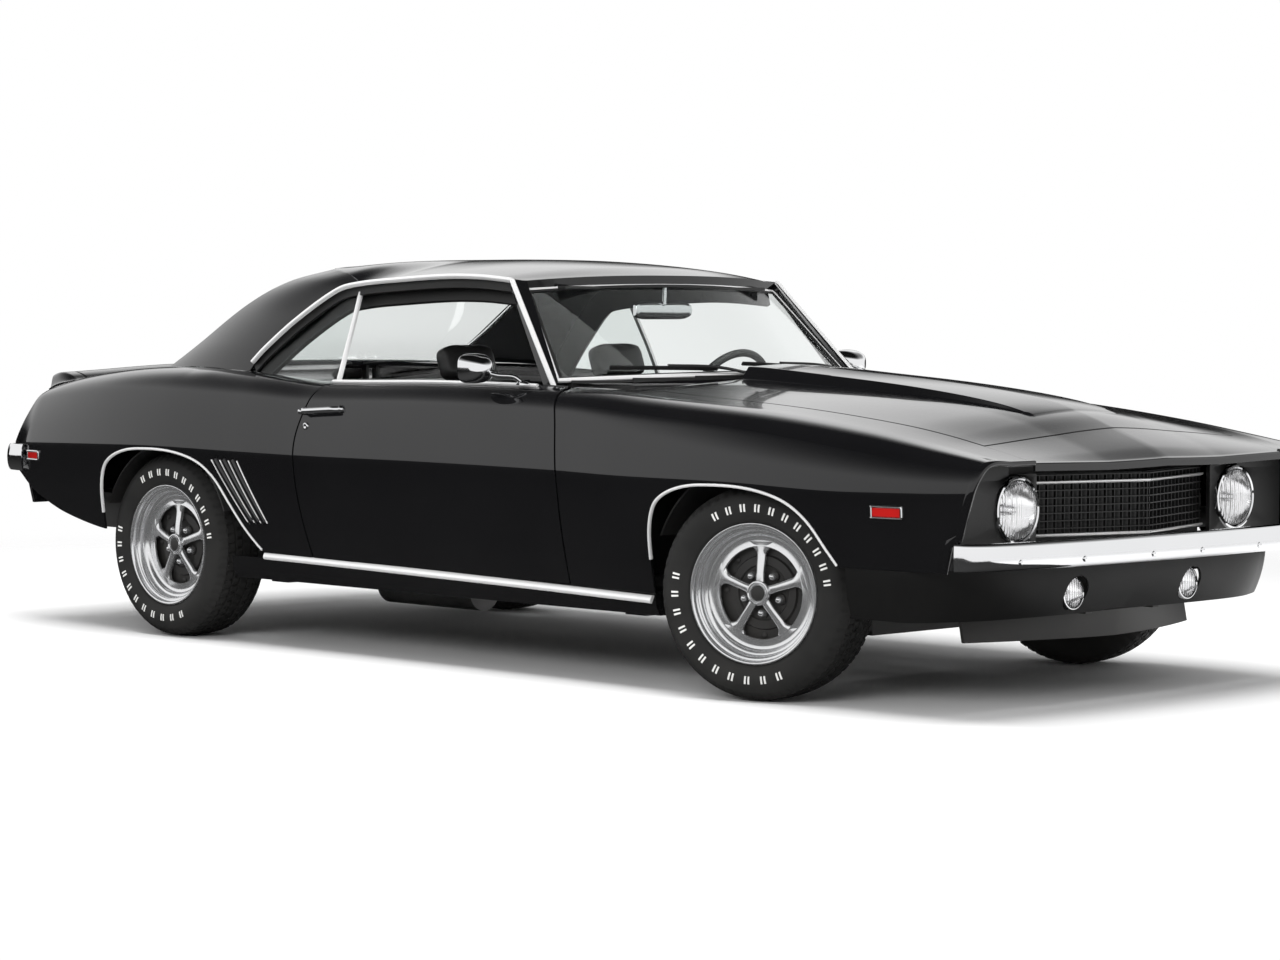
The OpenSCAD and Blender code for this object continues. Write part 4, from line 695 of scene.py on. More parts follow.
# %% Front fenders
arch_f = arch_line(FRONT_AXLE, 0, 400, 421.5, 90)
cf = columns(run(D0, FRONT_AXLE - 349, 26, 303.5), arch_f, run(arch_f[-1, 0] + 4, NOSE_X, 34, 421.0))
fender = flank(cf[:, 0], cf[:, 1], fender_shift, hood_edge_y(np.minimum(cf[:, 0], 2117.0)) + GAP)
nose_rim = strip(fender[0][:, -1], [[-7, -16], [7, -16], [7, 5], [4, 8], [-4, 8], [-7, 5]], [1.0, 0, 0])
piece("fenders", both([plate(*fender), nose_rim]), PAINT, stands_for=["front_fenders"], bevel=2.0)
print("fender columns:", len(cf))

# %% Rear quarters
arch_r = arch_line(REAR_AXLE + 38, 18, 418, 330, 90)
tail_x = np.linspace(TAIL_X, REAR_AXLE + 38 - 349, 30)
cq = columns(np.column_stack([tail_x, along(BODY, 3, tail_x)]), arch_r,
             run(arch_r[-1, 0] + 6, Q0, 26, 303.5))
q_top = quarter_shift(cq[:, 0], shoulder_z(cq[:, 0]))
q_in = mix(640.0 + GAP, 768.0, ramp(REAR_AXLE - 240, REAR_AXLE + 200, q_top))
quarter = flank(cq[:, 0], cq[:, 1], quarter_shift, q_in)
print("quarter columns:", len(cq))

# %% [markdown]
# The doors carry the same surface between their two curved edges. Their top turns in as the sill of the open
# window, and a padded card closes the inside. The glass is wound down, as it is on the car.

# %% Doors with their inner cards
def door_column_x(s, z, back=0.0, front=0.0):
    return mix(door_rear(z) + GAP + back, door_front(z) - GAP - front, s)


s = np.linspace(0, 1, 70)
base_x = mix(-560.0, 640.0, s)


def door_shift(x, z):
    """A column stays at its share of the way between the door's two edges."""
    return door_column_x((x + 560.0) / 1200.0, z)


skin = flank(base_x, np.full_like(base_x, 305.0), door_shift, shoulder_y(base_x) - 70.0, lift=4.0)
card_z = np.linspace(0, 1, 24)[:, None]
zs_d = shoulder_z(base_x)
z_in = 312.0 + (zs_d - 6.0 - 312.0) * card_z
x_in = mix(door_rear(z_in) + GAP + 22.0, door_front(z_in) - GAP - 52.0, s)
swell = 10.0 * ramp(0.62, 0.7, card_z) * (1 - ramp(0.74, 0.86, card_z)) * ramp(0.12, 0.2, s) * (1 - ramp(0.8, 0.9, s))
y_in = side_y(x_in, z_in) - 98.0 - swell
y_in = np.minimum(y_in, shoulder_y(base_x) - 64.0)
card = np.stack([x_in, y_in, z_in], -1)
fill = np.stack([x_in, np.minimum(side_y(x_in, z_in) - 14.0, shoulder_y(base_x) - 18.0), z_in - 6.0], -1)
for side, name in ((1, "left"), (-1, "right")):
    turn = (lambda p: p) if side > 0 else flip
    piece("door_skin_" + name, [turn(plate(*skin))], PAINT, "door_" + name, stands_for=["door_" + name], bevel=2.0)
    piece("door_card_" + name, [turn(plate(card, fill))], VINYL, "door_" + name, bevel=3.0)
print("door skin points:", skin[0].shape)

# %% [markdown]
# The quarters carry the spoiler's two ends, which die away over the shoulders. The lid carries the middle.

# %% Quarters with the spoiler's ends
DECK_FRONT, DECK_REAR, SPOILER_FRONT = REAR_AXLE - 238.0, TAIL_X + 68.0, TAIL_X + 218.0


def lid_up(x):
    return 55.0 * ramp(SPOILER_FRONT, DECK_REAR + 20, x) ** 1.5


def lid_back(x):
    return 42.0 * ramp(DECK_REAR + 80, DECK_REAR, x)


s = np.linspace(0, 1, 30)[:, None]
x = np.linspace(DECK_REAR, SPOILER_FRONT, 36)[None]
y = 644.0 + 96.0 * s
fall = 1 - ramp(0.45, 1, s) * 0.86
end_top = np.stack(np.broadcast_arrays(x - lid_back(x) * fall, y, top_z(x, y) + lid_up(x) * fall), -1)
end_foot = np.stack(np.broadcast_arrays(x, y, top_z(x, y) - 6.0), -1)
piece("quarters", both([plate(*quarter), plate(end_top, end_foot)]), PAINT, stands_for=["quarter_panels"], bevel=2.0)
print("quarters made")

# %% [markdown]
# ## Hood and header
# The hood follows the body's top, with a low peak down its middle and a raised centre whose side facets taper out
# towards the nose. The header ahead of it rolls over into a lip above the grille.

# %% Hood
def bulge(x, y):
    """Raised centre: full height inside, falling over a narrow facet, its height dying away towards the nose."""
    share = np.clip((1975.0 - x) / 1180.0, 0, None)
    inner = 205.0 - 34.0 * np.maximum(0.1, share)
    far = np.clip((np.abs(y) - inner) / (205.0 - inner), 0, 1)
    return 38.0 * share ** 0.6 * (1 - far)


def peak(y):
    return 7.0 * np.maximum(0, 1 - np.abs(y) / 280.0)


def hood_z(x, y):
    return top_z(x, y) + bulge(x, y) + peak(y)


x = np.concatenate([np.linspace(795.0, 1940, 60), np.linspace(1950, 2113.5, 20)])[:, None]
inner = 205.0 - 34.0 * np.maximum(0.1, (1975.0 - x) / 1180.0)
edge = hood_edge_y(x) - GAP
half = np.concatenate([inner * np.linspace(0, 1, 18)[None], mix(inner, 205.0, np.linspace(0, 1, 6)[None, 1:]),
                       mix(205.0, edge, np.linspace(0, 1, 26)[None, 1:])], 1)
y = np.concatenate([-half[:, :0:-1], half], 1)
xx = np.broadcast_to(x, y.shape)
outer = np.stack([xx, y, hood_z(xx, y)], -1)
piece("hood_skin", [plate(outer, outer - [0, 0, 14.0])], PAINT, "hood", stands_for=["hood"], bevel=3.0)
arms = [boxes([[765, k * 560 - 15, 878.7]], [[850, k * 560 + 15, 899.8]]) for k in (-1, 1)]
eyes = [turned([[6.1, -15], [10.1, -15], [10.1, 15], [6.1, 15]], (765, k * 560, 888.82), count=24) for k in (-1, 1)]
piece("hood_hinges", arms + eyes, SATIN, "hood")
print("hood points:", outer.shape)

# %% Header panel
y = 609.0 * np.sin(np.linspace(-1, 1, 81) * math.pi / 2)[None]
front = NOSE_X + 19.0 - 25.0 * (y / 820.0) ** 2
r = 9.0
t = np.linspace(0, 1, 24)[:, None]
hx = mix(2120.5, front - r, t)
top = np.stack(np.broadcast_arrays(hx, y, top_z(hx, y) + peak(y)), -1)
a = np.linspace(0, math.pi / 2, 8)[1:, None]
roll_x, roll_z = front - r + r * np.sin(a), top[-1, :, 2] - r + r * np.cos(a)
lip = np.stack(np.broadcast_arrays(roll_x, y, roll_z), -1)
drop = np.stack(np.broadcast_arrays(front, y, top[-1, :, 2] - np.array([[14.0], [24.0]])), -1)
outer = np.concatenate([top, lip, drop])
lean = np.concatenate([np.zeros(24), a[:, 0], [math.pi / 2] * 2])[:, None, None]
inner = outer - 8.0 * np.concatenate([np.sin(lean), 0 * lean, np.cos(lean)], -1)
piece("header", [plate(outer, inner)], PAINT, stands_for=["nose"], bevel=1.5)
print("header points:", outer.shape)

# %% [markdown]
# ## Roof, sails and pillars
# The roof is a table of cross sections; each is a flat arch that drops faster towards the drip rail. The sail
# panels behind the side windows swell out between their two edges and settle on the quarters.

# %% Roof skin
ROOF = [[290, 1263, 205, 600, 1242], [150, 1292, 90, 612, 1254], [-100, 1313, -125, 622, 1258],
        [-350, 1319, -360, 628, 1247], [-560, 1317, -560, 636, 1232], [-650, 1312, -640, 612, 1262],
        [-710, 1306, -720, 580, 1277], [-760, 1298, -800, 545, 1285]]
rows = through(ROOF, 70)[:, :, None]
s = np.sin(np.linspace(-1, 1, 91) * math.pi / 2)[None]
s = 0.5 * s + 0.5 * np.linspace(-1, 1, 91)[None]


def roof_grid(t):
    """Cross sections: the height falls by a power of the share of the half width, a rounder one towards the sails."""
    power = 2.4 + 2.6 * ramp(-430.0, -700.0, rows[:, 0])
    return np.stack([mix(rows[:, 0], rows[:, 2], s * s), s * rows[:, 3] * (1 - t / 900),
                     rows[:, 1] - (rows[:, 1] - rows[:, 4]) * np.abs(s) ** power - t], -1)


roof_plate = plate(roof_grid(0), roof_grid(28))

# %% Sails, pillars and the panel behind the rear window
SAIL = [[-560, 632, 1232, -790, 548, 1286], [-651, 650, 1212, -985, 588, 1242], [-800, 700, 1114, -1145, 636, 1166],
        [-925, 742, 1016, -1380, 664, 1031], [-990, 768, 931, -1556, 672, 942]]
rows_s = through(SAIL, 50)[:, :, None]
ROOF_EDGE = np.array(ROOF)[:3:-1, 2:]
u = np.linspace(0, 1, 44)[None]


def sail_grid(t):
    """Sail: straight across from its front to its rear edge plus a parabola's swell. Its top settles on the roof's
    edge and its foot on the quarter."""
    v = np.linspace(0, 1, 50)[:, None]
    x = mix(rows_s[:, 0], rows_s[:, 3], u)
    y = mix(rows_s[:, 1], rows_s[:, 4], u) + 88.0 * u * (1 - u)
    z = mix(rows_s[:, 2], rows_s[:, 5], u)
    at_roof = 1 - ramp(0, 0.3, v)
    y = y + (along(ROOF_EDGE, 1, x[0]) - y[0]) * at_roof - t
    z = z + (along(ROOF_EDGE, 2, x[0]) - z[0]) * at_roof
    z = z + (top_z(x[-1], y[-1]) + 2.0 - z[-1]) * ramp(0.6, 1, v)
    return np.stack([x, y, z], -1)


PILLAR = np.array([[180, 634, 1243, 490, 738, 897], [168, 628, 1222, 440, 734, 897], [186, 590, 1222, 430, 684, 897],
                   [206, 592, 1243, 462, 697, 924.0]])
t = np.linspace(0, 1, 12)[:, None, None]
pillar = bar(mix(PILLAR[None, :, :3], PILLAR[None, :, 3:], t))
s_f = np.linspace(-1, 1, 61)[None]
fy = 642.5 * s_f
fx = mix(REAR_AXLE - 180.0 - 40.0 * s_f**2, DECK_FRONT + 7.0, np.linspace(0, 1, 14)[:, None])
filler = np.stack(np.broadcast_arrays(fx, fy, top_z(fx, fy)), -1)
piece("roof_skin", [roof_plate, plate(filler, filler - [0, 0, 14.0])]
      + both([plate(sail_grid(0), sail_grid(34)), pillar]), PAINT, stands_for=["roof"])
print("roof and sails made")

# %% Drip rails and pillar trim in chrome
RAIL = np.array([[180, 634, 1244], [30, 630, 1255], [-125, 636, 1257], [-360, 642, 1246],
                 [-560, 650, 1231], [-651, 662, 1210], [-800, 712, 1112], [-925, 752, 1010], [-972, 769, 962.0]])
rail = through(RAIL, 120)
rail_strip = strip(rail, half_round(15, 8, 6), [0.0, 0.8, 0.6])
post = mix(PILLAR[0, :3], PILLAR[0, 3:], np.linspace(0, 0.99, 30)[:, None]) + [4, 2, 0]
post_strip = strip(post, half_round(17, 7, 4), [0.6, 0.6, 0.5])
band, cant = rail + [0, -14.0, -20.0], rail + [0, -52.0, -42.0]
seals = [strip(band, [[-22, -5], [22, -5], [22, 5], [-22, 5]], [0, 0.93, 0.36]),
         strip(cant, [[-44, -9], [44, -9], [44, 9], [-44, 9]], [0, 0.93, 0.36])]
piece("window_seals", both(seals), SEAL, bevel=2.0)
piece("drip_rails", both([rail_strip, post_strip]), TRIM)
print("rails made")

# %% [markdown]
# ## Glass
# Each pane is a thin plate on its own curve. A dark seal and a chrome moulding follow its rim.

# %% Windshield, rear window and quarter windows
def screen(s, h, t=0.0):
    return np.stack(np.broadcast_arrays(mix(690 - 235 * s**2, 284 - 84 * s**2, h) - t, s * mix(691.3, 588.4, h),
                                        mix(944 - 18 * s**2, 1233.2 - 20 * s**2, h)), -1)


s = np.linspace(-1, 1, 61)[None]
h = np.linspace(0, 1, 30)[:, None]
piece("windshield_glass", [plate(screen(s, h), screen(s, h, 6.0))], GLASS, stands_for=["windshield"])
BACK = [[-801, 512, 1278], [-970, 552, 1236], [-1125, 600, 1162], [-1362, 628, 1026], [-1537, 634, 945]]
rows_b = through(BACK, 40)[:, :, None]
back = np.stack(np.broadcast_arrays(rows_b[:, 0] + 40 * (1 - s * s), s * rows_b[:, 1],
                                    rows_b[:, 2] + 10 * (1 - s * s)), -1)
piece("rear_glass", [plate(back, back - [0, 0, 6.0])], GLASS, stands_for=["rear_window"])
PANE = through([[908, -525, 767], [1010, -535, 724], [1115, -550, 676], [1202.5, -562, 638]], 24)
sail_x = along([[931, -990], [1016, -925], [1114, -800], [1212, -651], [1232, -560]], 1, PANE[:, 0])
u = np.linspace(0, 1, 14)[:, None]
pane = np.stack(np.broadcast_arrays(mix(PANE[:, 1], sail_x + 1.2, u), PANE[:, 2], PANE[:, 0]), -1)
piece("quarter_panes", both([plate(pane, pane - [0, 6.0, 0])]), GLASS, stands_for=["quarter_glass"])
print("panes made")

# %% Seals and mouldings round the glass
q = np.linspace(0, 1, 40)[:, None]
rim_s = np.concatenate([mix(-1, 1, q), np.ones_like(q), mix(1, -1, q), -np.ones_like(q)])[:, 0]
rim_h = np.concatenate([np.zeros_like(q), q, np.ones_like(q), mix(1, 0, q)])[:, 0]
keep = np.concatenate([np.arange(0, 39), np.arange(40, 79), np.arange(80, 119), np.arange(120, 159)])
rim = screen(rim_s[keep], rim_h[keep])
inset = screen(rim_s[keep] * 0.985, 0.5 + (rim_h[keep] - 0.5) * 0.972)
piece("windshield_seal", [strip(inset, half_round(16, 4, 3), [0.72, 0.0, 0.7], loop=True)], SEAL)
piece("windshield_moulding", [strip(rim, half_round(17, 6, 4), [0.72, 0.0, 0.7], loop=True)], TRIM)
rb = np.concatenate([back[0, ::-1][:-1], back[:-1, 0], back[-1, :-1], back[:0:-1, -1]])
piece("rear_moulding", [strip(rb, half_round(18, 6, 4), [-0.6, 0.0, 0.8], loop=True)], TRIM)
edge = np.column_stack([PANE[:, 1] + 5, PANE[:, 2] + 1, PANE[:, 0]])
piece("quarter_bars", both([strip(edge, half_round(16, 6, 7), [0.0, 0.92, 0.4])]), TRIM)
print("mouldings made")

# %% [markdown]
# ## Deck lid and tail panel

# %% Deck lid with its spoiler
x = np.concatenate([np.linspace(DECK_REAR, SPOILER_FRONT, 40), np.linspace(SPOILER_FRONT, DECK_FRONT, 30)[1:]])[:, None]
y = 636.5 * np.linspace(-1, 1, 61)[None]
outer = np.stack(np.broadcast_arrays(x - lid_back(x), y, top_z(x, y) + lid_up(x)), -1)
inner = np.stack(np.broadcast_arrays(x, y, top_z(x, y) - 14.0), -1)
lid_eye = top_z(np.array(DECK_FRONT), np.array(250.0)) - 15.0
arms = [boxes([[-1656, k * 250 - 15, lid_eye - 10.1]], [[-1526, k * 250 + 15, lid_eye + 1.9]]) for k in (-1, 1)]
eyes = [turned([[6.1, -15], [10.1, -15], [10.1, 15], [6.1, 15]], (-1526, k * 250, lid_eye), count=24) for k in (-1, 1)]
piece("deck_skin", [plate(outer, inner)], PAINT, "deck_lid", stands_for=["deck_lid"], bevel=3.0)
piece("deck_hinges", arms + eyes, SATIN, "deck_lid")


def tail_x(s, z):
    return TAIL_X - 30.0 + 30.0 * s * s + 0.6 * (z - 650) * np.where(z > 650, 1, -0.6)


tail_end = np.array(TAIL_X)
lip_x = quarter_shift(tail_end, shoulder_z(quarter_shift(tail_end, shoulder_z(tail_end))))
q_lip = float(shoulder_z(lip_x))
s = np.linspace(-1, 1, 81)[None]
mid_top = top_z(np.full_like(s, DECK_REAR), s * 760) - 21.0
tops = mix(mid_top, q_lip - 17.0, ramp(0.8, 0.86, np.abs(s)))
z = mix(430.0, tops, np.linspace(0, 1, 40)[:, None])
half = np.minimum(side_y(np.full_like(z, TAIL_X), np.maximum(z, 545)) - 14.6, 836.0)
tail = np.stack([tail_x(s, z), s * half, z], -1)
piece("tail_skin", [plate(tail, tail + [12.0, 0, 0])], PAINT, stands_for=["tail_panel"], bevel=2.0)
print("deck lid and tail panel made")

# %% [markdown]
# ## Front
# The grille is an egg crate of thin blades on two flat frames that meet in a shallow V. The lamps sit in black
# bezels beside it, each a turned chrome ring, a bright bowl and a domed glass with upright flutes.

# %% Grille
def placed(part, origin, along_way, out_way):
    """Moves a shape from a flat drawing, with columns along, out and up, to its place on the car."""
    p, f = part
    return (np.asarray(origin, float) + p[:, :1] * np.asarray(along_way) + p[:, 1:2] * np.asarray(out_way)
            + p[:, 2:] * [0, 0, 1.0]), f


G_LONG = math.hypot(116.0, 421.0)
g_way, g_out = np.array([-116.0, 421.0, 0]) / G_LONG, np.array([421.0, 116.0, 0]) / G_LONG
n_up, n_across = 15, 9
k = np.arange(n_up)
post_u = 6 + k * (G_LONG - 12) / (n_up - 1)
uprights = boxes(np.column_stack([post_u - 1.5, 0 * k - 14, 0 * k + 500.0]),
                 np.column_stack([post_u + 1.5, 0 * k - 3, 0 * k + 682.0]))
j = np.arange(n_across)
bar_z = 502 + j * 178.0 / (n_across - 1)
levels = boxes(np.column_stack([0 * j + 1.0, 0 * j - 14, bar_z - 1.5]),
               np.column_stack([0 * j + G_LONG - 1, 0 * j, bar_z + 1.5]))
backing = boxes([[1, -26, 498]], [[G_LONG - 1, -22, 684]])
crate = [placed(p, (2254, 0.4, 0), g_way, g_out) for p in (uprights, levels, backing)]
piece("grille_crate", both(crate), SATIN, stands_for=["grille"])
w = np.linspace(0.5, G_LONG - 0.5, 12)[:, None]
lines = [strip(np.array([2254.0, 0.4, z]) + w * g_way + g_out, half_round(8, 5, 4), g_out + [0, 0, 0.5])
         for z in (506.0, 660.0)]
piece("grille_lines", both(lines), TRIM)
print("grille blades:", n_up + n_across)

# %% Bezels and headlamps
def dome(place, stations, axis="x", count=64):
    """A round part from stations of radius and distance along the axis, capped at both ends."""
    a = np.linspace(0, 2 * math.pi, count, endpoint=False)
    st = np.asarray(stations, float)
    c, s_, d = st[:, :1] * np.cos(a), st[:, :1] * np.sin(a), np.broadcast_to(st[:, 1:2], (len(st), count))
    order = {"x": (d, c, s_), "y": (c, d, s_), "z": (c, s_, d)}[axis]
    return bar(np.stack(order, -1) + np.asarray(place, float))


LAMP_AT, FOG_AT = (2160, 534, 586), (2166, 281, 336)
a = np.linspace(0, 2 * math.pi, 144, endpoint=False)
cy, sy = np.cos(a), np.sin(a)
wall = np.minimum(np.where(cy > 0, 264.0, 108.0) / np.maximum(np.abs(cy), 1e-6),
                  np.where(sy > 0, 102.0, 114.0) / np.maximum(np.abs(sy), 1e-6))


def bezel_ring(r, x):
    return np.column_stack([np.full_like(a, x), LAMP_AT[1] + r * cy, LAMP_AT[2] + r * sy])


near = [bezel_ring(mix(99.0, wall, t), 2166.0 + 12.0 * (1 - t) ** 2) for t in np.linspace(1, 0, 8)]
far = [bezel_ring(mix(99.0, wall, t), 2152.0) for t in np.linspace(0, 1, 4)]
bezel = bar(np.array(near + far), loop=True)
brow = boxes([[2150, 560, 674]], [[2170, 790, 718]])
piece("bezels", both([bezel, brow]), SATIN, stands_for=["headlamp_bezels"])
ring = turned([[86, 0], [99.5, 0], [100, 20], [97, 27], [92, 29], [88, 26], [86, 18]], LAMP_AT, (1, 0, 0), 96)
fog_ring = turned([[43, 0], [50, 0], [51, 22], [49, 28], [46, 29], [43, 25]], FOG_AT, (1, 0, 0), 72)
piece("lamp_rings", both([ring, fog_ring]), CHROME, stands_for=["front_lamps"])
bowl = turned([[84, 20], [70, 4], [48, -8], [24, -14], [10, -15], [10, -19], [30, -18], [56, -11], [76, 2], [87, 18]],
              LAMP_AT, (1, 0, 0), 96)
fog_bowl = turned([[42.5, 20], [33, 6], [18, -1], [7, -3], [7, -7], [22, -5], [38, 3], [44, 18]],
                  FOG_AT, (1, 0, 0), 64)
bulb = dome(LAMP_AT, [[0.8, -14], [13, -14], [14, -6], [11, 3], [5, 7], [0.8, 8]], count=32)
piece("lamp_bowls", both([bowl, fog_bowl, bulb]), REFLECTOR)
rr = np.sin(np.linspace(1.0, 0.006, 26) * math.pi / 2)
lens_p, lens_f = dome(LAMP_AT, np.concatenate(
    [[[0.8, 17]], [[86.5, 17]], np.column_stack([87 * rr, 22 + 13 * np.sqrt(1 - rr**2)])]), count=128)
front = lens_p[:, 0] > 2181
lens_p[:, 0] += front * 1.1 * np.abs(np.sin((lens_p[:, 1] - LAMP_AT[1]) / 7.0)) * np.clip((2195.5 - lens_p[:, 0]) / 6, 0, 1)
fog_p = dome(FOG_AT, np.concatenate(
    [[[0.6, 20], [43, 20]], np.column_stack([43.5 * rr, 23 + 8 * np.sqrt(1 - rr**2)])]), count=72)
piece("lamp_lenses", both([(lens_p, lens_f), fog_p]), LENS, sharp=60)
print("lamps made")

# %% [markdown]
# ## Bumpers
# A bumper is one rolled section carried along a bowed line, thinner towards its wrapped ends.

# %% Front and rear bumpers
RING = np.array([[1, 0.86], [0.72, 0.97], [0.45, 1], [0.22, 0.93], [0.1, 0.76], [0.03, 0.5], [0, 0.25]])
RING = np.concatenate([RING, [[0, 0.0]], RING[::-1] * [1, -1]])
ROUND = np.array([[1, 0.9], [0.8, 1], [0.56, 0.93], [0.34, 0.78], [0.16, 0.55], [0.04, 0.28]])
ROUND = np.concatenate([ROUND, [[0, 0.0]], ROUND[::-1] * [1, -1]])


def bumper(table, x0, way, z0, tall, ring=RING):
    """Bowed line from the table mirrored about the middle; the section's depth points away from the line."""
    half = through(table, 70)
    bow = np.concatenate([half[:0:-1] * [-1, 1, 1], half])
    d = np.gradient(bow, axis=0)
    a = np.arctan2(d[:, 1], d[:, 0])[:, None]
    q = ring[None, :, 0] * bow[:, 2:3]
    x = x0 - way * (bow[:, 1:2] + q * np.cos(a))
    y = bow[:, :1] - q * np.sin(a)
    return bar(np.stack(np.broadcast_arrays(x, y, z0 + ring[None, :, 1] * tall / 2), -1))


FRONT_BOW = [[0, 0, 46], [220, 4, 46], [450, 16, 46], [650, 34, 44], [780, 58, 36], [850, 88, 24], [880, 128, 14]]
REAR_BOW = [[0, 0, 46], [250, 5, 46], [480, 18, 46], [660, 34, 42], [800, 56, 30], [868, 92, 17], [886, 150, 14],
            [894, 215, 10]]
heads = [dome((FRONT_X - b, y, 452), [[0.5, -4], [9, -4], [8.5, 1], [6, 3], [0.5, 3.6]], count=24)
         for y, b in ((120, 2), (430, 15), (690, 41))]
piece("front_bumper_bar", [bumper(FRONT_BOW, FRONT_X, 1, 468, 80)] + both(heads), CHROME,
      stands_for=["front_bumper"], sharp=60)
rear_heads = [dome((-FRONT_X + b, y, 590), [[0.5, 4], [9, 4], [8.5, -1], [6, -3], [0.5, -3.6]], count=24)
              for y, b in ((300, 6), (600, 28))]
piece("rear_bumper_bar", [bumper(REAR_BOW, -FRONT_X, -1, 596, 96, ROUND)] + both(rear_heads), CHROME,
      stands_for=["rear_bumper"], sharp=60)
print("bumpers made")

# %% [markdown]
# The valance below the bumper is a swept sheet with two round holes for the small lamps. A chin spoiler leans
# back below it and is swept back towards its ends.

# %% Valance and chin spoiler
VALANCE = [[2225, 0, 0], [2222, 210, 1 / 7], [2210, 420, 2 / 7], [2185, 610, 3 / 7], [2140, 740, 4 / 7],
           [2060, float(side_y(np.array(2060.0), np.array(421.0))) - 4, 5 / 7],
           [1960, float(side_y(np.array(1960.0), np.array(421.0))) - 4, 6 / 7],
           [1845, float(side_y(np.array(1845.0), np.array(421.0))) - 4, 1]]
half = through(VALANCE, 80)
line = np.concatenate([half[:0:-1] * [1, -1, 1], half])
low = np.linspace(1, 0, 24)[:, None]


def valance_grid(t):
    """Below its top edge the sheet curls in by a square law, less so towards the wheel openings."""
    far = line[None, :, 2]
    tuck = 70.0 * low**2 * (1 - 0.5 * far) + t
    y = np.abs(line[None, :, 1]) - tuck * far * ramp(1 / 7, 2 / 7, far)
    return np.stack(np.broadcast_arrays(line[None, :, 0] - tuck * (1 - 0.9 * far), np.sign(line[None, :, 1]) * y,
                                        mix(420.5, 272.0, low)), -1)


def bored(shape, cutters):
    """The shape with round holes: an exact boolean run once on scratch objects, which are then thrown away."""
    scratch = []
    for p, f in [shape] + cutters:
        m = bpy.data.meshes.new("scratch")
        m.from_pydata(p.tolist(), [], outward(p - p.mean(0), f))
        o = bpy.data.objects.new("scratch", m)
        SCENE.collection.objects.link(o)
        scratch.append(o)
    for o in scratch[1:]:
        cut = scratch[0].modifiers.new("hole", "BOOLEAN")
        cut.object, cut.operation, cut.solver = o, "DIFFERENCE", "EXACT"
    done = bpy.data.meshes.new_from_object(scratch[0].evaluated_get(bpy.context.evaluated_depsgraph_get()))
    points = np.empty(len(done.vertices) * 3)
    done.vertices.foreach_get("co", points)
    faces = [list(p.vertices) for p in done.polygons]
    for o in scratch:
        bpy.data.objects.remove(o)
    return points.reshape(-1, 3), faces


holes = [dome((2100, k * 281, 336), [[52, 0], [52, 160]], count=72) for k in (-1, 1)]
sheet = bored(plate(valance_grid(0), valance_grid(12)), holes)
s = np.linspace(-1, 1, 61)[:, None]
cx, lean = NOSE_X - 172 - 126 * np.abs(s) ** 1.6, mix(22.0, -18.0, np.abs(s))
chin_low, chin_high = 190 + 2 * np.abs(s), 278 + 0 * s
chin = np.stack([np.concatenate([cx, cx + lean, cx + lean - 12, cx - 12], 1), np.repeat(546.0 * s, 4, 1),
                 np.concatenate([chin_low, chin_high, chin_high, chin_low], 1)], -1)
stays = boxes([[2076, 150, 266], [2076, -180, 266]], [[2160, 180, 278], [2160, -150, 278]])
piece("valance", [sheet], LOWER, stands_for=["front_valance"], sharp=50)
piece("chin_spoiler", [bar(chin), stays], SATIN, bevel=2.0)
print("valance faces:", len(sheet[1]))

# %% [markdown]
# ## Tail
# Two wide red lamps on each side lie on the leaning tail panel, each in a chrome frame with two uprights.

# %% Tail lamps
def on_tail(y, z, out):
    return np.stack(np.broadcast_arrays(tail_x(y / 800.0, z) - out, y, z), -1)


lamp_parts, frame_parts = [], []
for mid in (330.0, 560.0):
    y, z = np.linspace(mid - 94, mid + 94, 40)[None], np.linspace(690, 770, 20)[:, None]
    rib = 1.2 * np.cos((y - mid) / 94 * 15 * math.pi) ** 2
    lamp_parts.append(plate(on_tail(y, z, 7.0 + rib), on_tail(y, z, -1.0)))
    q = np.linspace(0, 1, 20, endpoint=False)
    ly = np.concatenate([mix(-97, 97, q), 97 + 0 * q, mix(97, -97, q), -97 + 0 * q]) + mid
    lz = np.concatenate([0 * q + 687, mix(687, 773, q), 0 * q + 773, mix(773, 687, q)])
    frame_parts.append(strip(on_tail(ly, lz, 0.0), half_round(9, 11, 3), [-0.86, 0, 0.5], loop=True))
    for k in (-32.0, 32.0):
        line = on_tail(np.full(20, mid + k), np.linspace(688, 772, 20), 6.0)
        frame_parts.append(strip(line, half_round(6, 5, 3), [-0.86, 0, 0.5]))
piece("tail_lenses", both(lamp_parts), RED_LENS, stands_for=["tail_lamps"])
piece("tail_frames", both(frame_parts), CHROME)
hook = turned(circle(5, 12) + [15.0, 0], (TAIL_X + 30, 0, 372), (0, 1, 0), 48)
shank = boxes([[TAIL_X + 10, -8, 386]], [[TAIL_X + 58, 8, 444]])
piece("tow_eye", [hook, shank], SATIN, bevel=1.5)
cap = dome((float(tail_x(0.0, np.array(640.0))) + 2, 0, 690),
           [[0.6, 2], [36, 2], [36, -6], [32, -9], [20, -10], [0.6, -10]], count=64)
piece("filler_cap", [cap], CHROME)
print("tail lamps made")

# %% [markdown]
# ## Mirrors and wipers
# A mirror is a chrome bullet on a slim arm. Each wiper is a bright arm from its pivot to a dark blade on the glass.

# %% Door mirrors
t = np.linspace(0, 1, 26)
head_r = 62.0 * np.sqrt(np.clip(1 - t**2.2, 0.0004, 1))
HEAD_AT = np.array([270.0, 894, 963])


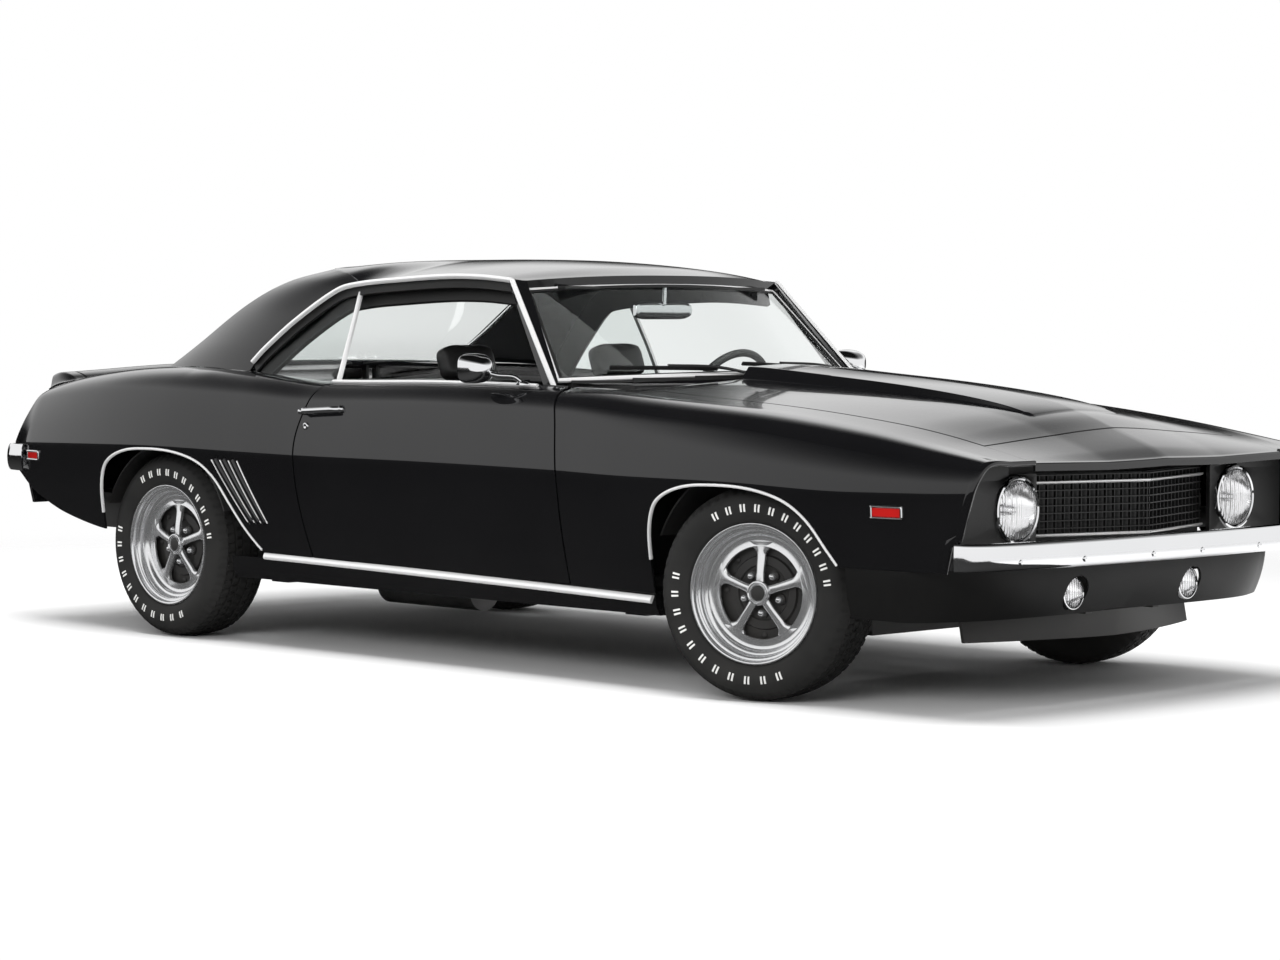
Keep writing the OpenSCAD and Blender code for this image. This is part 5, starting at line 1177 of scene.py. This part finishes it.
def squared(part, tall=0.76, power=3.2):
    """Turns round sections into rounded rectangles: each point moves out to |y|^p + |z|^p = r^p, then z is flattened."""
    p, f = part
    d = p - HEAD_AT
    r = np.hypot(d[:, 1], d[:, 2])
    out = r / np.maximum((np.abs(d[:, 1]) ** power + np.abs(d[:, 2]) ** power) ** (1 / power), 1e-6)
    return HEAD_AT + np.column_stack([d[:, 0], d[:, 1] * out, d[:, 2] * out * tall]), f


head = squared(dome(HEAD_AT, np.column_stack([np.r_[58.0, head_r], np.r_[-0.0, 3 + 78 * t]]), count=96))
foot_z = float(shoulder_z(np.array(430.0))) + 2.8
arm = through([[430, 822, foot_z + 6], [408, 838, foot_z + 24], [366, 866, 942], [320, 886, 953]], 24)
arm_bar = strip(arm, circle(8, 14), [0, 0.5, 0.87])
foot = dome((0, 0, 0), [[28, 0], [27, 6], [20, 11], [10, 13]], "z", 40)
foot = (foot[0] * [1.0, 0.5, 1] + [430, 822, foot_z - 1.5], foot[1])
face = squared(dome(HEAD_AT - [1.5, 0, 0], [[55, 0], [55, 1.5]], count=96))
for side, name in ((1, "left"), (-1, "right")):
    turn = (lambda p: p) if side > 0 else flip
    piece("mirror_shell_" + name, [turn(head), turn(arm_bar), turn(foot)], CHROME, "door_" + name,
          stands_for=["mirror_" + name], sharp=60)
    piece("mirror_face_" + name, [turn(face)], MIRROR, "door_" + name)
print("mirrors made")

# %% Wipers
def near_glass(s, h, off):
    """A point above the windshield: off millimetres along the glass's usual normal."""
    return screen(np.asarray(s, float), np.asarray(h, float)) + off * np.array([0.58, 0.0, 0.815])


arms, blades = [], []
for pivot_y, s0, s1 in ((-20.0, -0.78, -0.26), (450.0, -0.08, 0.42)):
    w = np.linspace(0, 1, 24)
    blade = near_glass(mix(s0, s1, w), mix(0.085, 0.035, w), 9.0)
    blades.append(strip(blade, [[-3, -5], [3, -5], [4, 3], [2, 8], [-2, 8], [-4, 3]], [0.58, 0, 0.815]))
    mid = near_glass(mix(s0, s1, 0.5), 0.06, 19.0)
    pivot = np.array([712.0, pivot_y, 936.0])
    lift = through([pivot, mix(pivot, mid, 0.5) + [16, 0, 12], mid], 24)
    arms.append(strip(lift, [[-7, -2], [7, -2], [6, 3], [-6, 3]], [0.58, 0, 0.815]))
    arms.append(dome((712, pivot_y, 914.5), [[11, 0], [11, 18], [9, 24], [4, 27]], "z", 32))
piece("wiper_arms", arms, SATIN, stands_for=["wipers"], bevel=1.0)
piece("wiper_blades", blades, SEAL)
s = np.linspace(-0.985, 0.985, 61)[None]
foot = screen(s, np.zeros((1, 1)))[0]
rows = [foot + [3, 0, -4], np.column_stack([foot[:, 0] + 20, foot[:, 1] * 0.97, 0 * s[0] + 917.5]),
        np.column_stack([0 * s[0] + 738, foot[:, 1] * 0.93, 0 * s[0] + 916]),
        np.column_stack([0 * s[0] + 747, foot[:, 1] * 0.93, 0 * s[0] + 908]),
        np.column_stack([0 * s[0] + 749, foot[:, 1] * 0.93, 0 * s[0] + 842])]
panel = np.array(rows)
piece("cowl_panel", [plate(panel, panel - [3.5, 0, 3.0])], PAINT, bevel=0.0, sharp=50)
print("wipers made")

# %% [markdown]
# ## Brightwork and small pieces on the flanks
# Thin chrome lips follow the wheel openings and a strip runs along each sill. Handles, locks, side markers and the
# slanted gills ahead of the rear wheels finish the sides. Badges and script are left off.

# %% Arch lips and sill strips
def on_side(x, z, out=0.0):
    return np.stack(np.broadcast_arrays(x, side_y(np.asarray(x, float), np.asarray(z, float)) + out, z), -1)


lips = []
for line in (arch_line(FRONT_AXLE, 0, 402, 424, 120), arch_line(REAR_AXLE + 38, 18, 420, 332, 120)):
    lips.append(strip(on_side(line[:, 0], line[:, 1], -0.5), half_round(9, 4.5, 5), [0, 1, 0]))
x = np.linspace(-770, 1066, 80)
z = mix(313.0, 281.0, (x + 770) / 1836)
sill_y = np.maximum(side_y(x, np.maximum(z, 303.0)), 866.0) + 0.5
lips.append(strip(np.column_stack([x, sill_y, z]), half_round(25, 7, 5), [0, 0.9, 0.44]))
piece("bright_lips", both(lips), TRIM, sharp=60)
print("lips made")

# %% Handles and locks on the doors
hx = np.linspace(-566, -366, 40)
swell = 26.0 * ramp(-566, -536, hx) * (1 - ramp(-396, -366, hx))
hz = mix(806.0, 818.0, (hx + 566) / 200)
grip = strip(on_side(hx, hz) + np.column_stack([0 * hx, swell, 0 * hx]), circle(7.5, 16) * [1.35, 0.8], [0, 1, 0])
ends = [dome((x0, float(side_y(np.array(x0), np.array(z0))) - 3, z0), [[13, 0], [13, 8], [10, 14], [4, 17]], "y", 28)
        for x0, z0 in ((-556.0, 807.0), (-376.0, 817.0))]
button = dome((-548.0, float(side_y(np.array(-548.0), np.array(806.0))) + 14, 806.0),
              [[9, 0], [9, 15], [7, 18], [2, 19]], "y", 28)
lock = dome((-536.0, float(side_y(np.array(-536.0), np.array(757.0))) - 3, 757.0),
            [[13, 0], [13, 5], [11, 7], [7, 7.5], [2, 6]], "y", 32)
for side, name in ((1, "left"), (-1, "right")):
    turn = (lambda p: p) if side > 0 else flip
    piece("handle_" + name, [turn(p) for p in [grip, button, lock] + ends], CHROME, "door_" + name, sharp=60)
belt_x = np.linspace(-505, 480, 60)
belt = np.column_stack([belt_x, shoulder_y(belt_x) - 44.0, top_z(belt_x, shoulder_y(belt_x) - 44.0) + 1.0])
for side, name in ((1, "left"), (-1, "right")):
    turn = (lambda p: p) if side > 0 else flip
    piece("belt_strip_" + name, [turn(strip(belt, half_round(12, 6, 4), [0, 0.5, 0.86]))], TRIM, "door_" + name)
print("handles made")

# %% Side markers
def marker(x0, x1, z0, z1, rise, material, name):
    """A lens that follows the side, inside a chrome frame."""
    x, z = np.linspace(x0 + 5, x1 - 5, 14)[None], np.linspace(z0 + 4, z1 - 4, 8)[:, None]
    z = z + rise * (x - x0) / (x1 - x0)
    q = np.linspace(0, 1, 14, endpoint=False)
    fx = np.concatenate([mix(x0, x1, q), x1 + 0 * q, mix(x1, x0, q), x0 + 0 * q])
    fz = np.concatenate([z0 + 0 * q, mix(z0, z1, q), z1 + 0 * q, mix(z1, z0, q)]) + rise * (fx - x0) / (x1 - x0)
    piece(name + "_lens", both([plate(on_side(x, z, 4.0), on_side(x, z, -4.0))]), material, bevel=1.0)
    piece(name + "_frame", both([strip(on_side(fx, fz, 0), half_round(8, 7, 3), [0, 1, 0], loop=True)]), CHROME)


marker(1952, 2054, 570, 602, 0, RED_LENS, "front_marker")
marker(-2122, -2040, 592, 622, 0, RED_LENS, "rear_marker")
print("markers made")

# %% Gills ahead of the rear wheels
blades, edges = [], []
for k in range(4):
    up, down = mix(-996.0, -866.0, k / 3), mix(-830.0, -733.0, k / 3)
    w = np.linspace(0, 1, 40)
    gx, gz = mix(up, down, w), mix(630.0, 424.0, w)
    path = on_side(gx, gz, -0.5)
    if k < 3:
        blades.append(strip(path + [19, 0, 0],
                            [[-15, -6], [15, -6], [15, -1], [6, 5.5], [-4, 7], [-12, 3], [-15, -1]], [0, 1, 0]))
    edges.append(strip(path, half_round(4.5, 3.5, 4), [0, 1, 0]))
piece("gills", both(blades), PAINT, bevel=1.0)
piece("gill_edges", both(edges), TRIM)
print("gills made")

# %% [markdown]
# ## Wheels and tyres
# A wheel is drawn once with its outer face towards +Y and set on the four hubs. The rim is turned, with a lip and two
# steps. Five slim spokes flare out into the rim; nuts show in the dark windows between them. The tyre is turned too,
# but its tread is pushed in where the grooves run, and plain raised white bars stand for the side's lettering.

# %% Where the four wheels stand
KING_Y, WHEEL_Y, REST = 734.0, 770.0, math.radians(15.0)
HUBS = {}
for side, name in ((1, "left"), (-1, "right")):
    off = side * (WHEEL_Y - KING_Y)
    HUBS["front_" + name] = ((FRONT_AXLE - off * math.sin(REST), side * KING_Y + off * math.cos(REST), AXLE_Z),
                             REST + (0 if side > 0 else math.pi))
    HUBS["rear_" + name] = ((REAR_AXLE, side * WHEEL_Y, AXLE_Z), 0 if side > 0 else math.pi)


def set_on(part, hub):
    """Turns a shape about the upright axis and moves it to its hub."""
    place, turn = HUBS[hub]
    c, s_ = math.cos(turn), math.sin(turn)
    p, f = part
    return np.column_stack([c * p[:, 0] - s_ * p[:, 1], s_ * p[:, 0] + c * p[:, 1], p[:, 2]]) + place, f


print("hubs:", {k: [round(v) for v in p[0]] for k, p in HUBS.items()})

# %% Rim, spokes, cap and nuts
RIM = [[209.9, 98], [208.5, 100.5], [205, 101], [201, 99.5], [198.5, 95], [197.5, 86], [195, 82], [189.5, 80.5], [186.5, 77],
       [185.5, 66], [183, 61], [177, 59.5], [173, 56], [171, 50], [166, 47.5], [156, 47], [146, 48], [139, 49.5],
       [137, 47], [137, 41],
       [150, 38], [168, 34], [178, 20], [178, -60], [186, -88], [203, -99], [209.9, -99], [209.9, -91], [192.2, -85],
       [192.2, 85], [209.9, 91]]
rim = turned(RIM, (0, 0, 0), (0, 1, 0), 128)
r = np.concatenate([np.linspace(24, 118, 20), np.linspace(121, 152, 16)])[:, None]
v = np.linspace(-1, 1, 15)[None]
wide = 13.0 - 1.5 * ramp(24, 60, r) + 1.5 * ramp(60, 110, r) + 40.0 * ramp(104, 156, r) ** 2
flat = 61.0 - 12.0 * ramp(30, 150, r)
spoke_top = np.stack(np.broadcast_arrays(r, flat - 4.5 * np.abs(v) ** 3, v * wide), -1)
spoke = plate(spoke_top, np.stack(np.broadcast_arrays(r, flat - 16.0, v * wide * 0.96), -1))


def around(part, angle):
    """Turns a shape about the wheel's axle."""
    c, s_ = math.cos(angle), math.sin(angle)
    p, f = part
    return np.column_stack([c * p[:, 0] - s_ * p[:, 2], p[:, 1], s_ * p[:, 0] + c * p[:, 2]]), f


fifths = np.radians(90 + 72 * np.arange(5))
spokes = [around(spoke, a) for a in fifths]
cap = dome((0, 0, 0), [[36, 56], [37, 66], [35.5, 69], [33, 69.5], [30, 66.5], [28, 66.5], [26, 69], [23.5, 69],
                       [22, 66], [22, 62]], "y", 64)
cap_middle = dome((0, 0, 0), [[21.5, 62], [21.5, 66.5], [18, 68], [9, 69], [1, 69.2]], "y", 48)
nut = dome((60.5, 0, 0), [[11, 30], [11, 46], [9.5, 48.5], [8, 52], [4, 54.5], [0.8, 55]], "y", 24)
stud = dome((60.5, 0, 0), [[17, 28], [16, 34], [12, 36]], "y", 24)
plate_disc = turned([[24, 4], [176, 4], [176, 12], [150, 14], [146, 20], [112, 22], [108, 30], [84, 32], [80, 27],
                     [24, 27]], (0, 0, 0), (0, 1, 0), 96)
drum_bolts = [around(dome((128, 0, 0), [[9, 10], [9, 24], [6, 26], [0.8, 26.5]], "y", 20), a)
              for a in np.radians(np.arange(0, 360, 45))]
bright = [rim] + spokes + [cap] + [around(nut, a + math.radians(36)) for a in fifths]
dark = [plate_disc, cap_middle] + drum_bolts + [around(stud, a + math.radians(36)) for a in fifths]
for hub in HUBS:
    piece("rim_" + hub, [set_on(p, hub) for p in bright], WHEEL_CHROME, "wheel_" + hub,
          stands_for=["wheel_" + hub], sharp=45)
    piece("disc_" + hub, [set_on(p, hub) for p in dark], SATIN, "wheel_" + hub)
print("wheels made")

# %% Tyres
SIDE = np.array([[192.5, 84], [203, 88.5], [211, 94], [215, 101], [219, 104], [224, 106], [236, 110.5],
                 [250, 113], [264, 112.6], [276, 110], [288, 105], [297, 99], [304, 92], [309.5, 85], [313.5, 79]])
SIDE = through(SIDE, 26)
RIBS = []
for a_, b_ in ((76, 52), (44, 22), (14, -14), (-22, -44), (-52, -76)):
    RIBS += [[-8, a_ + 1.5], [0, a_], [0, mix(a_, b_, 0.33)], [0, mix(a_, b_, 0.67)], [0, b_], [-8, b_ - 1.5]]
RIBS = np.array(RIBS, float)
crown = 319.6 - 5.5 * (np.abs(RIBS[:, 1]) / 78) ** 2.5
tread = np.column_stack([crown + RIBS[:, 0], RIBS[:, 1]])
inside = np.array([[250, -100], [290, -70], [296, 0], [290, 70], [250, 100]])
profile = np.concatenate([SIDE, tread, SIDE[::-1] * [1, -1], inside])
turn = np.linspace(0, 2 * math.pi, 360, endpoint=False)[:, None]
rows = np.zeros(len(profile))
rows[len(SIDE):len(SIDE) + len(tread)] = (RIBS[:, 0] == 0)
zig = 0.035 * np.sin(profile[:, 1] / 15.0)
cutting = (np.sin((turn + zig) * 60) > 0.72) * rows * 6.0
shoulder = ((profile[:, 0] > 296) & (rows == 0) & (np.abs(profile[:, 1]) > 76))
cutting = cutting + (np.sin((turn + 0.02) * 60) > 0.72) * shoulder * 3.0
radius = profile[None, :, 0] - cutting
rings = np.stack([radius * np.cos(turn), np.broadcast_to(profile[None, :, 1], radius.shape), radius * np.sin(turn)], -1)
tyre = bar(rings, loop=True)


def side_bar(a0, a1, r0, r1, rise=1.3):
    """A raised bar on the tyre's side: a patch of the turned side pushed out, and its foot sunk in."""
    a = np.linspace(a0, a1, 7)[None]
    r = np.linspace(r0, r1, 8)[:, None]
    w = along(SIDE, 1, r)
    out = lambda up: np.stack(np.broadcast_arrays(r * np.cos(a), w + up, r * np.sin(a)), -1)
    return plate(out(rise), out(-2.0))


top_arc = np.radians(np.linspace(170, 62, 11))
low_arc = np.radians(np.linspace(10, -112, 11))
bars = [side_bar(a - 0.034 + k, a - 0.012 + k, 243.0, 266.0)
        for a in np.concatenate([top_arc, low_arc]) for k in (0, 0.046)]
for hub in HUBS:
    piece("rubber_" + hub, [set_on(tyre, hub)], RUBBER, "wheel_" + hub, stands_for=["tyre_" + hub], sharp=35)
    piece("white_bars_" + hub, [set_on(p, hub) for p in bars], SIDE_WHITE, "wheel_" + hub, sharp=40)
print("tyre points:", rings.shape)

# %% [markdown]
# ## Cabin
# Seats are stuffed, so each cushion starts as a rounded block a little too small, is blown up as cloth under pressure
# and then gets its piping. A point may move only so far, which keeps the sewn edges where they belong.

# %% Cushions blown up as cloth
def block(center, half, lean=0.0, power=5.0, rows=20, count=48):
    """A rounded block: rings of a flattened circle, |x|^p + |y|^p = 1, shrinking by the same law towards both ends."""
    t = np.linspace(-1, 1, rows) * 0.985
    size = (1 - np.abs(t) ** power) ** (1 / power)
    a = np.linspace(0, 2 * math.pi, count, endpoint=False)
    c, s_ = np.cos(a), np.sin(a)
    cx, cy_ = np.sign(c) * np.abs(c) ** (2 / power), np.sign(s_) * np.abs(s_) ** (2 / power)
    x = half[0] * size[:, None] * cx
    y = half[1] * size[:, None] * cy_
    z = np.broadcast_to(half[2] * t[:, None], x.shape)
    b = math.radians(lean)
    return bar(np.stack([x * math.cos(b) - z * math.sin(b), y, x * math.sin(b) + z * math.cos(b)], -1)
               + np.asarray(center, float))


def stuffed(obj, cap, voxel=9.0, frames=16):
    """Swells a closed block as cloth under pressure; no point moves further than the cap, in millimetres."""
    remesh = obj.modifiers.new("even_mesh", "REMESH")
    remesh.mode, remesh.voxel_size = "VOXEL", voxel * MM
    mesh = bpy.data.meshes.new_from_object(obj.evaluated_get(bpy.context.evaluated_depsgraph_get()))
    mesh.materials.clear()
    mesh.materials.append(VINYL)
    obj.modifiers.clear()
    obj.data = mesh
    start = np.empty(len(mesh.vertices) * 3)
    mesh.vertices.foreach_get("co", start)
    cloth = obj.modifiers.new("swell", "CLOTH")
    cloth.settings.use_pressure = True
    cloth.settings.uniform_pressure_force = 2.5
    cloth.settings.effector_weights.gravity = 0.0
    cloth.settings.quality = 4
    for k in range(1, frames + 1):
        SCENE.frame_set(k)
    done = obj.evaluated_get(bpy.context.evaluated_depsgraph_get()).to_mesh()
    end = np.empty(len(done.vertices) * 3)
    done.vertices.foreach_get("co", end)
    obj.modifiers.clear()
    SCENE.frame_set(1)
    move = (end - start).reshape(-1, 3)
    far = np.linalg.norm(move, axis=1, keepdims=True)
    move *= np.minimum(1, cap * MM / np.maximum(far, 1e-9))
    mesh.vertices.foreach_set("co", (start.reshape(-1, 3) + move).ravel())
    mesh.update()
    mesh.shade_smooth()
    return len(mesh.vertices)


print("cushion helpers ready")

# %% Front seats and rear bench
LEAN = 20.0
up = np.array([-math.sin(math.radians(LEAN)), 0, math.cos(math.radians(LEAN))])
ahead = np.array([math.cos(math.radians(LEAN)), 0, math.sin(math.radians(LEAN))])
back_mid = np.array([-60.0, 0, 400.0]) - 62 * ahead + 262 * up
rest_mid = np.array([-60.0, 0, 400.0]) - 62 * ahead + 624 * up
first = True
for side, name in ((1, "left"), (-1, "right")):
    y = side * 360.0
    for tag, mid, half, lean, cap in (("base", (182, y, 412), (238, 214, 62), 0, 14),
                                      ("back", (back_mid[0], y, back_mid[2]), (50, 214, 246), LEAN, 12),
                                      ("headrest", (rest_mid[0], y, rest_mid[2]), (36, 114, 60), LEAN, 8)):
        cushion = piece(f"seat_{tag}_{name}", [block(mid, half, lean)], VINYL,
                        stands_for=["seats"] if first else ())
        first = False
        n = stuffed(cushion, cap)
bench = piece("bench_base", [block((-662, 0, 428), (212, 590, 44), 0)], VINYL)
stuffed(bench, 12, 13.0)
lb = math.radians(18)
bench_mid = (-880 + 35 * math.cos(lb) - 220 * math.sin(lb), 0, 450 + 35 * math.sin(lb) + 220 * math.cos(lb))
bench_back = piece("bench_back", [block(bench_mid, (46, 588, 206), 18)], VINYL)
stuffed(bench_back, 10, 13.0)
boxes_under = boxes([[-40, 180, 264], [-40, -540, 264], [-880, 128, 264], [-880, -600, 264]],
                    [[360, 540, 346], [360, -180, 346], [-440, 600, 404], [-440, -128, 404]])
posts = [strip(np.array([back_mid + 230 * up + [0, y, 0], rest_mid + [0, y, 0]]), circle(7, 12), [1.0, 0, 0.3])
         for y in (330.0, 390.0, -330.0, -390.0)]
piece("seat_bases", [boxes_under], CARPET, bevel=8.0)
piece("headrest_posts", posts, CHROME)
print("cushion points on the last headrest:", n)

# %% [markdown]
# Raised piping marks the channels sewn across each cushion, as on pleated vinyl.

# %% Piping on the seats
piping = []
for y0 in (360.0, -360.0):
    for k in np.linspace(-140, 140, 7):
        w = np.linspace(0.06, 0.94, 20)
        piping.append(strip(np.column_stack([mix(-10.0, 380.0, w), 0 * w + y0 + k, 477 + 6 * np.sin(w * math.pi)]),
                            circle(2.6, 8), [0, 0, 1.0]))
        line = (back_mid + np.array([0, y0 + k, 0]) + (w[:, None] - 0.5) * 430 * up
                + ahead * (58 + 4 * np.sin(w * math.pi))[:, None])
        piping.append(strip(line, circle(2.6, 8), ahead))
for k in np.linspace(-480, 480, 13):
    w = np.linspace(0.06, 0.94, 16)
    piping.append(strip(np.column_stack([mix(-850.0, -480.0, w), 0 * w + k, 476 + 4 * np.sin(w * math.pi)]),
                        circle(2.4, 8), [0, 0, 1.0]))
piece("seat_piping", piping, VINYL)
print("piping lines:", len(piping))

# %% Dash, steering wheel, inner mirror, headliner and carpet
pad = through([[398, 722], [392, 770], [402, 822], [436, 856], [520, 864], [598, 858], [700, 838], [768, 806]], 60)
ring = np.concatenate([pad, [[768, 704], [410, 702]]])
half = np.linspace(-668, 668, 40)
sag = 1 - 0.03 * ramp(560, 668, np.abs(half))
dash = bar(np.stack(np.broadcast_arrays(ring[None, :, 0], half[:, None],
                                        700 + (ring[None, :, 1] - 700) * sag[:, None]), -1))
piece("dash_pad", [dash], DASH, stands_for=["dashboard"], sharp=50)
gauges = [dome((394, 370 + k, 792), [[58, 6], [58, -5], [52, -8], [49, -3], [46, 4]], count=48) for k in (-70.0, 70.0)]
radio = boxes([[391, -92, 742]], [[400, 92, 796]])
knobs = [dome((390, k, 768), [[12, 6], [12, -10], [9, -13], [1, -14]], count=24) for k in (-116.0, 116.0)]
piece("dash_bright", gauges + [radio] + knobs, SATIN, bevel=1.0)
tilt = math.radians(24)
axle = np.array([math.cos(tilt), 0, -math.sin(tilt)])
flat_u, flat_v = np.array([0, 1.0, 0]), np.cross(axle, [0, 1.0, 0])
wheel_at = np.array([190.0, 370, 830])
a = np.linspace(0, 2 * math.pi, 24, endpoint=False)
rim = turned(np.column_stack([188 + 13 * np.cos(a), 13 * np.sin(a) * (1 + 0.06)]), wheel_at, axle, 96)
spread = []
for k in (0, 120, 240):
    d = math.cos(math.radians(k)) * -flat_v + math.sin(math.radians(k)) * flat_u
    line = (wheel_at + np.linspace(20, 182, 14)[:, None] * d
            + axle * (8 * np.sin(np.linspace(0, math.pi, 14)))[:, None] * 0.4)
    spread.append(strip(line, [[-16, -4], [16, -4], [15, 4], [-15, 4]], -axle))
boss = turned([[12.3, -13], [46, -13], [46, 6], [40, 13], [12.3, 13]], wheel_at, axle, 48)
horn_a = np.array([[44, -14], [43, -20], [34, -25], [1, -27]])
horn = turned(np.concatenate([horn_a, [[1, -14]]]), wheel_at, axle, 48)
piece("steering_rim", [rim, boss], DASH, "steering_wheel", stands_for=["steering_wheel"], sharp=50)
piece("steering_spokes", spread, STEEL, "steering_wheel", bevel=1.5)
piece("horn_button", [horn], SATIN, "steering_wheel")
m = np.linspace(-1, 1, 33)[:, None]
back_r = np.column_stack([[-9, -9, -4, 6, 12, 6, -4], [-24, 24, 27, 22, 0, -22, -27]]) * 1.0
shape = (1 - np.abs(m) ** 8 * 0.35)
inner = bar(np.stack([243 + back_r[None, :, 0] * np.ones_like(m), np.repeat(132 * m, 7, 1),
                      1146 + 1.12 * back_r[None, :, 1] * shape], -1))
stem = strip(np.array([[250, 0, 1165.0], [252, 0, 1200], [254, 0, 1236]]), circle(7, 12), [1.0, 0, 0])
piece("inner_mirror_shell", [inner, stem], CHROME, stands_for=["inner_mirror"], bevel=1.5)
glass_y, glass_z = np.linspace(-112, 112, 20)[None], np.linspace(-21, 21, 8)[:, None]
face = np.stack(np.broadcast_arrays(233.2 + 0 * glass_y, glass_y, 1146 + glass_z), -1)
piece("inner_mirror_face", [plate(face, face + [1.5, 0, 0])], MIRROR)
liner_rows = through(ROOF[:6], 40)[:, :, None]
sl = np.linspace(-0.96, 0.96, 41)[None]
liner = np.stack([mix(liner_rows[:, 0] - 30, liner_rows[:, 2], sl * sl), sl * liner_rows[:, 3],
                  liner_rows[:, 1] - (liner_rows[:, 1] - liner_rows[:, 4]) * np.abs(sl) ** 2.4 - 30.0], -1)
piece("headliner", [plate(liner, liner - [0, 0, 5.0])], VINYL)
mats = boxes([[-900, 130, 264.4], [-900, -690, 264.4], [-900, -126, 400.4]],
             [[760, 690, 268], [760, -130, 268], [300, 126, 404]])
piece("carpet", [mats], CARPET)
visors = [boxes([[150, 70, 1214]], [[270, 480, 1226]])]
piece("visors", both(visors), VINYL, bevel=5.0)
print("cabin made")

# %% [markdown]
# ## Solids that stay as they are
# What sits under the car or behind other pieces keeps its own solid and gets its real finish.

# %% Finishes for the solids that still show
KEPT = {"body_paint": PAINT, "black_metal": SATIN, "chrome": CHROME, "glass": GLASS, "lamp_glass": LENS,
        "red_lens": RED_LENS, "vinyl": VINYL, "dash_plastic": DASH, "engine_iron": IRON, "exhaust_steel": STEEL,
        "tyre": RUBBER}
SLOT_OF = {n["node"]: n["material_slot"] for n in frame["record"]["subparts"]}
for name, solid in frame["nodes"].items():
    solid.data.materials.clear()
    solid.data.materials.append(KEPT[SLOT_OF[name]])
print("solids given a finish:", len(frame["nodes"]))

# %% [markdown]
# ## Pieces made

# %% Count of pieces
print("pieces made:", len(MADE))
